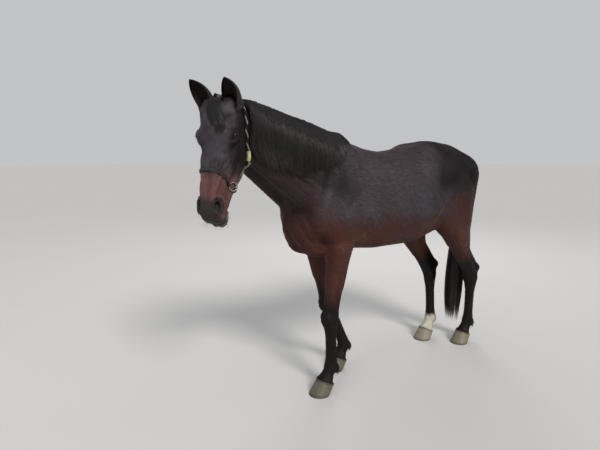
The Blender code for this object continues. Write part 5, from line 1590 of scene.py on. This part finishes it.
def make_hooves():
    """Four hooves, and the horny chestnuts inside the legs."""
    material, crust = horn_material(), chestnut_material()
    for name, joints in LEGS.items():
        grid, t = hoof_points(name)
        levels, turns = grid.shape[:2]
        points, faces = with_ends(grid.reshape(-1, 3), levels, turns)
        angle = 2 * np.pi * np.arange(turns) / turns
        around = np.stack([np.tile(np.cos(angle), levels), np.tile(np.sin(angle), levels), grid[..., 2].ravel()], 1)
        hoof = name.replace("leg", "hoof")
        add_piece("horn_" + hoof, points, faces, material, "horn", [hoof],
                  [("height", np.append(np.repeat(t[:, 0], turns), [0.0, 1.0])),
                   ("around", np.vstack([around, [0, 0, 0], [0, 0, 0.07]])),
                   ("white", np.full(len(points), 1.0 if name == "leg_hind_right" else 0.25)),
                   # painted shade that darkens the fore hooves
                   ("painted_hoof_shade", np.full(len(points), float("fore" in name)))])
    rows, columns = 17, 28
    ball = ball_points(rows, columns)[:, [1, 2, 0]]
    for name, joints in LEGS.items():
        side = 1 if "left" in name else -1
        joint, lift = (joints["knee"], 0.105) if "knee" in joints else (joints["hock"], -0.075)
        seat = settle(np.array([joint]) + (-side * 0.05, 0.012, lift), outline, 6, -0.0045)
        normal = unit(slope(seat, outline))[0]
        long = unit(np.array([0, 0.1, 1.0]) - normal * normal[2])
        rough = 1 + 0.14 * wander(ball + joint, 3.5, 12)[:, None]
        points = seat + rough * (ball @ np.array([np.cross(long, normal) * 0.0085, long * 0.020, normal * 0.0065]))
        add_piece("chestnut_" + name, points, grid_faces(rows, columns)[:, ::-1], crust, "horn", (),
                  [("tip", ball[:, 2])])


# ---------------------------------------------------------------- mane, forelock, tail
TAIL = (   # x, y, z, front radius, back radius, half width
    (0.0, 1.130, 1.380, 0.034, 0.034, 0.034),
    (0.0, 1.240, 1.330, 0.038, 0.038, 0.038),
    (0.0, 1.292, 1.230, 0.042, 0.042, 0.044),
    (0.0, 1.305, 1.050, 0.046, 0.046, 0.054),
    (0.0, 1.295, 0.850, 0.048, 0.048, 0.064),
    (-0.008, 1.275, 0.600, 0.048, 0.048, 0.072),
    (-0.012, 1.262, 0.350, 0.044, 0.044, 0.078),
    (-0.012, 1.255, 0.120, 0.030, 0.030, 0.064))


def on_grid(grid, s, t):
    """Places on a grid at shares across and along it, between its points."""
    rows, columns = grid.shape[:2]
    a, b = np.clip(s, 0, 1) * (rows - 1.001), np.clip(t, 0, 1) * (columns - 1.001)
    i, j = a.astype(int), b.astype(int)
    u, v = (a - i)[..., None], (b - j)[..., None]
    return ((grid[i, j] * (1 - v) + grid[i, j + 1] * v) * (1 - u)
            + (grid[i + 1, j] * (1 - v) + grid[i + 1, j + 1] * v) * u)


def locks(name, lines, out, widths, chance, material, replaced, roll, thick=0.35):
    """A piece of long hair from the lines of its locks."""
    tangent = unit(np.gradient(lines, axis=1))
    across = unit(np.cross(tangent, out))
    up = np.cross(across, tangent)
    points, faces, size = strand_mesh(lines, across, up, widths, thick)
    count, steps = lines.shape[:2]
    tip = np.append(np.repeat(np.linspace(0, 1, steps)[:-1], 3), 1.0)
    run = np.append(np.tile([0.0, 1.3, 2.6], steps - 1), 1.3)
    strand = np.stack([np.tile(run, count) + np.repeat(chance.uniform(0, 90, count), size),
                       np.repeat(chance.uniform(0, 90, count), size), np.tile(tip * 40, count)], 1)
    own = np.clip(0.45 + 0.24 * chance.normal(size=count), 0, 1)
    add_piece(name, points, faces, material, "hair", replaced,
              [("tip", np.tile(tip, count)), ("own", np.repeat(own, size)), ("strand", strand)],
              [("OFBake", patches(unwrap(lines[:, 0], *roll), size, faces))], strand_normals(across, unit(up), 0.5))


def laid_grid(grid, rounds, level):
    """A grid of places laid on the coat's outer surface."""
    return settle(grid.reshape(-1, 3), outline, rounds, level).reshape(grid.shape)


def hair_sheet(grid, count, chance, lift, reach_to, lean, wave, wide, steps, shorter=0.0):
    """Lines of locks over a settled grid: s along the roots, t down the hair, in layers lift deep."""
    normal = unit(slope(grid.reshape(-1, 3), outline)).reshape(grid.shape)
    one = (count, 1)
    t = np.linspace(0, 1, steps)[None]
    start = (np.arange(count) + chance.uniform(0, 1, count))[:, None] / count
    layer = chance.uniform(0, 1, one)
    begin = chance.uniform(0.0, 0.10, one)
    end = chance.uniform(*reach_to, one) * (1 - shorter * ramp(start, 0.80, 1.0) * chance.uniform(0.4, 1, one))
    clump = 0.5 * np.sin(start * 2 * np.pi * 17 + 3 * np.sin(start * 40))
    side = start + lean * t * (1 - 0.3 * start) + wave * t * (
        np.sin(t * chance.uniform(2, 6, one) + chance.uniform(0, 6.3, one))
        + 1.2 * clump + 0.5 * chance.normal(size=one))
    down = begin + (end - begin) * t
    rise = lift[0] + (lift[1] - lift[0]) * layer * np.sin(np.pi * (0.12 + 0.80 * t))
    out = unit(on_grid(normal, side, down))
    widths = wide * chance.uniform(0.6, 1.4, one) * (0.55 + 0.45 * ramp(t, 0, 0.25)) * (1 - t**4)
    return on_grid(grid, side, down) + out * rise[..., None], out, widths


def make_mane():
    """Mane over the crest and down the left side of the neck: a short underlayer and longer locks over it."""
    profile = ((0.03, 1.400, 0.145), (-0.06, 1.400, 0.160), (-0.20, 1.430, 0.160), (-0.36, 1.480, 0.145),
               (-0.50, 1.537, 0.115), (-0.61, 1.572, 0.093), (-0.72, 1.605, 0.072))
    grid = []
    for y, z, crest in spline(profile, 8):
        share = (0.03 - y) / 0.80
        drop = 0.05 + 0.25 * np.sin(np.pi * (0.06 + 0.62 * share))
        top = z + crest * 0.84
        around = ((-0.022, top), (0.004, z + crest), (0.045, top), (0.100, top - 0.20 * drop),
                  (0.130, top - 0.47 * drop), (0.140, top - 0.74 * drop), (0.145, top - drop))
        grid.append([pose((x, y, height))[0] for x, height in spline(around, 4)])
    grid = laid_grid(np.array(grid), 10, 0.0015)[::-1]
    material = hair_material("mane_hair", (0.0055, 0.0045, 0.005), (0.011, 0.008, 0.0085), (0.034, 0.017, 0.012))
    for name, count, reach_to, wide, lift, replaced in (
            ("mane_under", 1300, (0.45, 0.85), 0.0080, (0.001, 0.010), ["mane"]),
            ("mane_over", 3400, (0.75, 1.0), 0.0038, (0.008, 0.021), [])):
        chance = np.random.default_rng(len(name))
        lines, out, widths = hair_sheet(grid, count, chance, lift, reach_to, 0.05, 0.011, wide, 9, 0.75)
        locks(name, lines, out, widths, chance, material, replaced, NECK_ROLL)


def make_forelock():
    """Forelock from between the ears, down the left of the forehead."""
    places = ((0.0, -0.030, -0.012), (0.006, 0.020, 0.004), (0.020, 0.080, 0.004), (0.036, 0.140, -0.004),
              (0.046, 0.192, -0.016))
    widths = spline([(w,) for w in (0.050, 0.064, 0.072, 0.060, 0.016)], 4)[:, 0]
    path = on_body(head_points(1, places), 4, 0.002)
    across = unit(np.cross(unit(slope(path, outline)), unit(np.gradient(path, axis=0))))
    grid = laid_grid(path[None] + across[None] * (np.linspace(-0.5, 0.5, 15)[:, None] * widths)[..., None], 8, 0.001)
    chance = np.random.default_rng(77)
    lines, out, wide = hair_sheet(grid, 720, chance, (0.001, 0.012), (0.30, 0.98), 0.0, 0.10, 0.0025, 9)
    material = hair_material("forelock_hair", (0.0035, 0.003, 0.0035), (0.0075, 0.006, 0.007), (0.020, 0.013, 0.012))
    locks("forelock_hair", lines, out, wide, chance, material, ["forelock"], HEAD_ROLL)


def make_tail():
    """Tail: locks that leave the dock all the way round it and hang to below the hocks."""
    rows = spline(TAIL, 8)
    side, front = section_axes(unit(np.gradient(rows[:, :3], axis=0)), True)
    material = hair_material("tail_hair", (0.006, 0.005, 0.0055), (0.014, 0.010, 0.010), (0.070, 0.046, 0.034))
    t = np.linspace(0, 1, 10)[None]
    for name, count, seed, reach_to, share, wide, replaced in (
            ("tail_inner", 600, 31, (0.72, 1.0), (0.15, 0.75), 0.010, ["tail"]),
            ("tail_outer", 2200, 32, (0.80, 1.0), (0.72, 1.0), 0.0050, [])):
        chance = np.random.default_rng(seed)
        one = (count, 1)
        angle, start = chance.uniform(0, 2 * np.pi, one), chance.uniform(0.02, 0.42, one)
        end, share = chance.uniform(*reach_to, one), chance.uniform(*share, one)
        place = (start + (end - start) * t) * (len(rows) - 1.001)
        low = place.astype(int)
        rest = (place - low)[..., None]
        here, across, ahead = (v[low] * (1 - rest) + v[low + 1] * rest for v in (rows, side, front))
        turns = angle + 0.25 * t * np.sin(t * chance.uniform(2, 6, one) + angle * 3) + 0.10 * np.sin(angle * 9) * t
        swell = share * (0.55 + 0.45 * ramp(t, 0.0, 0.22)) * (1 - 0.10 * ramp(t, 0.75, 1.0))
        radial = (across * (here[..., 5] * np.cos(turns))[..., None]
                  + ahead * (np.where(np.sin(turns) > 0, here[..., 3], here[..., 4]) * np.sin(turns))[..., None])
        widths = wide * chance.uniform(0.6, 1.4, one) * (0.5 + 0.5 * ramp(t, 0, 0.2)) * (1 - t**3)
        locks(name, here[..., :3] + radial * swell[..., None], unit(radial), widths, chance, material, replaced,
              ((0, 1.29, 0.8), (0, 0, 1), (0, -1, 0)))


# ---------------------------------------------------------------- halter
STRAP_LEVEL = 0.0052                # of a strap's middle above the coat
CROWN_LEVEL = 0.0058
RING_SEAT, RING_GAP = 0.0078, 0.0012      # of a ring's middle over the coat, of its wire at least
RING_RADIUS, RING_WIRE = 0.021, 0.0030
CHEEK_RING, THROAT_RING = (0.056, 0.412, -0.150), (0.081, 0.288, -0.232)
LOWER = (CHEEK_RING, (0.060, 0.382, -0.174), (0.066, 0.350, -0.199), (0.074, 0.318, -0.218), THROAT_RING)
UPPER = (THROAT_RING, (0.087, 0.232, -0.210), (0.091, 0.175, -0.182), (0.095, 0.120, -0.156),
         (0.098, 0.070, -0.140), (0.086, 0.018, -0.110), (0.048, -0.034, -0.068), (0.0, -0.050, -0.020))
UNDER = (THROAT_RING, (0.062, 0.292, -0.262), (0.030, 0.292, -0.274), (0.0, 0.292, -0.272))


def nose_loop(degrees):
    """Places round the nose by the angle from the face line; lower at the sides and under the chin."""
    angles = np.radians(degrees)
    return np.stack([0.090 * np.sin(angles), 0.350 + 0.041 * (1 - np.cos(angles)),
                     -0.092 + 0.092 * np.cos(angles)], 1)


def over(places):
    """A path from the left side's places over the middle, where the last one is, to the right's."""
    places = np.array(places)
    return np.vstack([head_points(1, places), head_points(-1, places[-2::-1])])


def strap_line(path, level, steps, gap=0.7):
    """A smooth strap on the coat at one level, evenly spaced and cut short of the rings by a share of their
    radius: its line, its across and outward directions and its length so far."""
    line = on_body(path, 12, level)
    for _ in range(6):
        line[1:-1] += 0.5 * ((line[2:] + line[:-2]) / 2 - line[1:-1])
    run = np.append(0, np.cumsum(np.linalg.norm(np.diff(line, axis=0), axis=1)))
    even = np.linspace(0, run[-1], steps)
    line = np.stack([np.interp(even, run, line[:, i]) for i in range(3)], 1)
    line = settle(line, outline, 2, level)
    tangent = unit(np.gradient(line, axis=0))
    across = unit(np.cross(unit(slope(line, outline)), tangent))
    keep = (even > RING_RADIUS * gap) & (even < even[-1] - RING_RADIUS * gap)
    return [v[keep] for v in (line, across, np.cross(tangent, across), even)]


def carried(strap, profile, lift=0.0, shift=0.0, part=slice(None)):
    """A tube for add_tubes: a profile carried along part of a strap, lifted off it or shifted across it."""
    line, across, normal, run = (v[part] for v in strap)
    return line + across * shift + normal * lift, across, normal, profile, run


def add_tubes(name, tubes, material, replaced=()):
    """Joins tubes, each (line, across, normal, profile, length so far), into one piece of webbing."""
    points, faces, values, count = [], [], [], 0
    for line, across, normal, profile, run in tubes:
        rows, columns = len(line), len(profile)
        grid, own = with_ends(tube_grid(line, across, normal, profile), rows, columns)
        values += [np.hstack([np.repeat(run, columns)[:, None], np.tile(profile, (rows, 1))]),
                   [(run[0], 0, 0), (run[-1], 0, 0)]]
        points.append(grid)
        faces.append(own + count)
        count += len(grid)
    add_piece(name, np.vstack(points), np.vstack(faces), material, "webbing", replaced,
              [("strap", np.vstack(values))])


def flat_profile(width, thick):
    """Rounded flat section with raised hems, as across and outward offsets."""
    c, s = round_profile(1.0, 28).T
    x = np.sign(c) * np.abs(c)**0.35 * width / 2
    hem = 1 + 0.22 * np.exp(-((np.abs(x) - width * 0.40) / 0.0016)**2)
    return np.stack([x, np.sign(s) * np.abs(s)**0.6 * thick / 2 * hem], 1)


def round_profile(radius, sides=10):
    """A round section, or the points of a ring."""
    angle = np.linspace(0, 2 * np.pi, sides, endpoint=False)
    return np.stack([np.cos(angle), np.sin(angle)], 1) * radius


def twisted(strap, radius, wide, high, pitch, sway=1.0, strands=3):
    """Strands wound round a strap's line, their lengths numbered from 0, 10 and 20; sway 2 plaits them
    flat."""
    line, across, normal, run = strap
    made = []
    for k in range(strands):
        phase = 2 * np.pi * (run / pitch + k / strands)
        centre = line + across * (wide * np.sin(phase))[:, None] + normal * (high * np.cos(phase * sway))[:, None]
        tangent = unit(np.gradient(centre, axis=0))
        side = unit(np.cross(normal, tangent))
        made.append((centre, side, np.cross(tangent, side), round_profile(radius), run + 10.0 * k))
    return made


def make_halter():
    """Noseband, chin strap, plaited cheek straps, twisted crown strap, throat strap and four rings."""
    dark = webbing_material("noseband_webbing", (0.012, 0.010, 0.012), (0.040, 0.036, 0.036), 900.0)
    grey = webbing_material("plaited_cord", (0.020, 0.017, 0.015), (0.15, 0.135, 0.11), 1100.0)
    # the twisted cord's pale colour is silver-grey thread that also paints the glints along the twist
    chain = webbing_material("twisted_cord", (0.010, 0.009, 0.009), (0.36, 0.34, 0.29), 1000.0, 0.75)
    yellow = webbing_material("sleeve_cord", (0.34, 0.33, 0.16), (0.62, 0.60, 0.38), 1200.0)
    for name, degrees in (("noseband", (-120, -90, -60, -30, 0, 30, 60, 90, 120)),
                          ("chin_strap", (120, 138, 158, 180, 202, 222, 240))):
        strap = strap_line(head_points(1, nose_loop(degrees)), STRAP_LEVEL, 150, 0.6)
        stitch = (0.0020 + 0.0006 * np.sign(np.sin(strap[3] * 1100)))[:, None]
        tubes = [carried(strap, flat_profile(0.015, 0.0042))]
        tubes += [carried(strap, round_profile(0.00055, 6), stitch, inset) for inset in (-0.0050, 0.0050)]
        tubes += [carried(strap, flat_profile(0.0155, 0.0030), 0.0036, 0.0, end)
                  for end in (slice(0, 14), slice(-14, None))]
        add_tubes(f"halter_{name}_web", tubes, dark, ["halter_" + name])
    for word, side in SIDES.items():
        strap = strap_line(head_points(side, LOWER), STRAP_LEVEL, 260)
        tubes = twisted(strap, 0.0036, 0.0052, 0.0018, 0.036, 2.0)
        tubes += [carried(strap, flat_profile(0.018, 0.0095), part=end) for end in (slice(0, 16), slice(-16, None))]
        add_tubes("halter_cheek_" + word, tubes, grey, ["halter_cheek_strap_" + word])
    crown = strap_line(over(UPPER), CROWN_LEVEL, 440)
    add_tubes("halter_crown", twisted(crown, 0.0033, 0.0042, 0.0034, 0.066), chain, ["halter_crown_strap"])
    add_tubes("halter_sleeve", [carried(crown, flat_profile(0.0175, 0.0135), part=slice(4, 30))], yellow)
    add_tubes("halter_throat", [carried(strap_line(over(UNDER), STRAP_LEVEL, 150), flat_profile(0.015, 0.0040))],
              grey, ["halter_throat_strap"])
    metal = metal_material()
    for title, place in (("cheek", CHEEK_RING), ("throat", THROAT_RING)):
        for word, side in SIDES.items():
            make_ring(f"{title}_ring_{word}", head_points(side, place), metal)


def make_ring(name, place, metal, around=56, sides=14):
    """A wire ring that lies on the coat."""
    centre = settle(place, outline, 6)
    normal = unit(slope(centre, outline))[0]
    first = unit(np.cross(normal, HEAD_AXES[:, 1]))
    flat = round_profile(RING_RADIUS, around) @ np.array([first, np.cross(normal, first)])
    path = centre + normal * RING_SEAT + flat
    path = path + normal * max(0.0, RING_GAP + RING_WIRE - outline(path).min())
    grid = tube_grid(path, unit(path - path.mean(0)), normal + 0 * path, round_profile(RING_WIRE, sides))
    add_piece("steel_" + name, grid, grid_faces(around + 1, sides) % (around * sides), metal, "metal",
              ["halter_" + name], [("tip", np.zeros(len(grid)))])


# ---------------------------------------------------------------- skin and fringes
def make_fringes():
    """Longer hair behind the fetlocks and over the coronets of the four feet."""
    behind, over_hoof = 420, 520
    for name, joints in LEGS.items():
        chance = np.random.default_rng(sum(map(ord, name)))
        turns = chance.normal(np.pi / 2, 0.75, behind)
        rise = chance.uniform(-0.050, 0.020, behind)
        spots = np.stack([0.045 * np.cos(turns), 0.050 * np.sin(turns) + 0.012, rise], 1)
        ring = chance.uniform(0, 2 * np.pi, over_hoof)
        rise = chance.uniform(-0.002, 0.008, over_hoof) - 0.42 * 0.054 * np.sin(ring)
        edge = np.stack([0.056 * np.cos(ring), 0.054 * np.sin(ring), rise], 1)
        roots = settle(np.vstack([spots + joints["fetlock"], edge + joints["coronet"]]), outline, 6, -0.002)
        normal = unit(slope(roots, outline))
        long = np.append(chance.uniform(0.012, 0.030, behind), chance.uniform(0.009, 0.015, over_hoof))
        stand = np.repeat([0.30, 0.22], [behind, over_hoof])[:, None]
        way = unit(normal * stand + (0, 0.15, -1.0) + chance.normal(0, 0.12, roots.shape))
        hairs("fringe_" + name, roots, way, normal, long, 0.0019, 0.3, chance, 3,
              (np.array(joints["coronet"]), (0, 0, 1), (0, -1, 0)), "points")


_skin = []


def the_skin():
    """The skin's points, triangles and normals, worked out once."""
    if not _skin:
        _skin.append(make_skin(round(bpy.context.scene.horse.skin_cell, 5)))
    return _skin[0]


def build_skin():
    """One skin for trunk, neck, head and legs, with its markings and painted sheen."""
    points, triangles, _ = the_skin()
    add_piece("skin", points, triangles, skin_material(), "coat", ["trunk", "neck", "head", *LEGS],
              [("combed", combed(points)), *markings(points).items()])


# ---------------------------------------------------------------- stage
CAMERA_PLACE = (2.3272, -2.1680, 1.50)
CAMERA_WAY = (-0.8031, 0.5958)
CAMERA_DROP = 9.09                  # degrees below level
CAMERA_LENS = 30.0
FLOOR_RADIUS = 40.0


def aim(made, place, way):
    """Put a lamp or camera in the scene at a place, looking one way."""
    bpy.context.scene.collection.objects.link(made)
    made.location = place
    made.rotation_euler = way.to_track_quat("-Z", "Y").to_euler()


def add_light(name, place, target, size, power, colour, kind="AREA"):
    """A disk of light, or with kind SUN daylight as wide as an angle, from a place towards a target."""
    light = bpy.data.lights.new(name, kind)
    light.energy, light.color = power, colour
    if kind == "SUN":
        light.angle = size
    else:
        light.shape, light.size = "DISK", size
    lamp = bpy.data.objects.new(name, light)
    lamp.visible_glossy = kind == "SUN"
    aim(lamp, place, Vector(target) - Vector(place))


def make_stage():
    """Pale floor and surround, soft daylight from behind the camera's right, and the camera."""
    scene = bpy.context.scene
    brightness = scene.horse.light
    rim = np.hstack([round_profile(FLOOR_RADIUS, 96), np.zeros((96, 1))])
    faces = np.stack([np.arange(96), (np.arange(96) + 1) % 96, np.full(96, 96)], 1)
    mesh = bpy.data.meshes.new("floor")
    mesh.from_pydata(np.vstack([rim, [[0, 0, 0]]]).tolist(), [], faces.tolist())
    mesh.materials.append(floor_material())
    floor = bpy.data.objects.new("floor", mesh)
    scene.collection.objects.link(floor)
    world = scene.world = bpy.data.worlds.new("studio")
    world.use_nodes = True
    sky = world.node_tree.nodes["Background"].inputs
    sky["Color"].default_value = (0.97, 0.98, 1.0, 1.0)
    sky["Strength"].default_value = 0.56 * brightness
    add_light("key", (5.2, -0.9, 4.2), (0, 0, 0), 0.30, 2.9 * brightness, (1.0, 0.96, 0.90), "SUN")
    add_light("fill", (0.6, -5.4, 2.6), (0, -0.3, 1.0), 3.5, 60 * brightness, (0.92, 0.96, 1.0))
    add_light("rim", (-3.2, 3.6, 4.2), (0, 0.3, 1.2), 2.4, 90 * brightness, (1.0, 0.98, 0.95))
    lens = bpy.data.cameras.new("camera")
    lens.lens, lens.sensor_width = CAMERA_LENS, 36.0
    scene.camera = bpy.data.objects.new("camera", lens)
    drop = np.radians(CAMERA_DROP)
    aim(scene.camera, CAMERA_PLACE, Vector((*(np.array(CAMERA_WAY) * np.cos(drop)), -np.sin(drop))))
    scene.view_settings.view_transform = "Standard"
    scene.view_settings.look = "None"
    scene.view_settings.exposure = 0.0


# ---------------------------------------------------------------- the add-on
class HorseColours(bpy.types.PropertyGroup):
    """Colours of the coat: its base, its mottling, its markings and its painted sheen."""
    __annotations__ = {name: bpy.props.FloatVectorProperty(
        name=name.capitalize(), description=f"The coat's {name} colour", default=colour,
        min=0.0, max=1.0, subtype="COLOR") for name, colour in COAT_COLOURS.items()}


class HorseSettings(bpy.types.PropertyGroup):
    """What can be chosen of the horse and its stage."""
    skin_cell: bpy.props.FloatProperty(
        name="Skin Cell", description="Cell of the skin's first mesh, smaller is finer", default=SKIN_CELL,
        min=0.008, max=0.02, precision=4, unit="LENGTH")
    tuft_share: bpy.props.FloatProperty(
        name="Tufts", description="Share of the coat's tufts that are made", default=1.0, min=0.05, max=1.15,
        subtype="FACTOR")
    light: bpy.props.FloatProperty(
        name="Light", description="Brightness of the studio light", default=1.0, min=0.1, max=4.0,
        subtype="FACTOR")
    coat: bpy.props.PointerProperty(name="Coat", description="Colours of the coat", type=HorseColours)


def make(label, *makers):
    """Runs the makers of an operator; one that makes nothing is an error."""
    before = len(bpy.data.objects)
    for maker in makers:
        maker()
    if len(bpy.data.objects) == before:
        raise RuntimeError(label + " made nothing")
    return {"FINISHED"}


class HORSE_OT_skin(bpy.types.Operator):
    """One skin for trunk, neck, head and legs"""
    bl_idname = "horse.skin"
    bl_label = "Skin"

    def execute(self, context):
        return make(self.bl_label, build_skin)


class HORSE_OT_coat(bpy.types.Operator):
    """Tufts of the coat over the skin"""
    bl_idname = "horse.coat"
    bl_label = "Coat"

    def execute(self, context):
        return make(self.bl_label, make_coat)


class HORSE_OT_fringes(bpy.types.Operator):
    """Longer hair at the fetlocks and coronets"""
    bl_idname = "horse.fringes"
    bl_label = "Fringes"

    def execute(self, context):
        return make(self.bl_label, make_fringes)


class HORSE_OT_ears(bpy.types.Operator):
    """Both ears"""
    bl_idname = "horse.ears"
    bl_label = "Ears"

    def execute(self, context):
        return make(self.bl_label, make_ears)


class HORSE_OT_eyes(bpy.types.Operator):
    """Eyeballs, lashes and feelers"""
    bl_idname = "horse.eyes"
    bl_label = "Eyes"

    def execute(self, context):
        return make(self.bl_label, make_eyes, make_lashes)


class HORSE_OT_hooves(bpy.types.Operator):
    """Hooves and chestnuts"""
    bl_idname = "horse.hooves"
    bl_label = "Hooves"

    def execute(self, context):
        return make(self.bl_label, make_hooves)


class HORSE_OT_hair(bpy.types.Operator):
    """Mane, forelock and tail"""
    bl_idname = "horse.hair"
    bl_label = "Long Hair"

    def execute(self, context):
        return make(self.bl_label, make_mane, make_forelock, make_tail)


class HORSE_OT_halter(bpy.types.Operator):
    """Halter without lead or reins"""
    bl_idname = "horse.halter"
    bl_label = "Halter"

    def execute(self, context):
        return make(self.bl_label, make_halter)


class HORSE_OT_stage(bpy.types.Operator):
    """Floor, light and camera"""
    bl_idname = "horse.stage"
    bl_label = "Stage"

    def execute(self, context):
        return make(self.bl_label, make_stage)


OPERATORS = (HORSE_OT_skin, HORSE_OT_coat, HORSE_OT_fringes, HORSE_OT_ears, HORSE_OT_eyes, HORSE_OT_hooves,
             HORSE_OT_hair, HORSE_OT_halter, HORSE_OT_stage)


class HORSE_PT_panel(bpy.types.Panel):
    """Lists the settings and the operators"""
    bl_label = "Horse"
    bl_idname = "HORSE_PT_panel"
    bl_space_type = "VIEW_3D"
    bl_region_type = "UI"
    bl_category = "Horse"

    def draw(self, context):
        settings = context.scene.horse
        for name in ("skin_cell", "tuft_share", "light"):
            self.layout.prop(settings, name)
        for name in COAT_COLOURS:
            self.layout.prop(settings.coat, name)
        for operator in OPERATORS:
            self.layout.operator(operator.bl_idname)


CLASSES = (HorseColours, HorseSettings, *OPERATORS, HORSE_PT_panel)


def register():
    for item in CLASSES:
        bpy.utils.register_class(item)
    bpy.types.Scene.horse = bpy.props.PointerProperty(type=HorseSettings)


def unregister():
    del bpy.types.Scene.horse
    for item in reversed(CLASSES):
        bpy.utils.unregister_class(item)


def main():
    """Registers the add-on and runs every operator."""
    register()
    for operator in OPERATORS:
        group, name = operator.bl_idname.split(".")
        getattr(getattr(bpy.ops, group), name)()


if __name__ == "__main__":
    main()
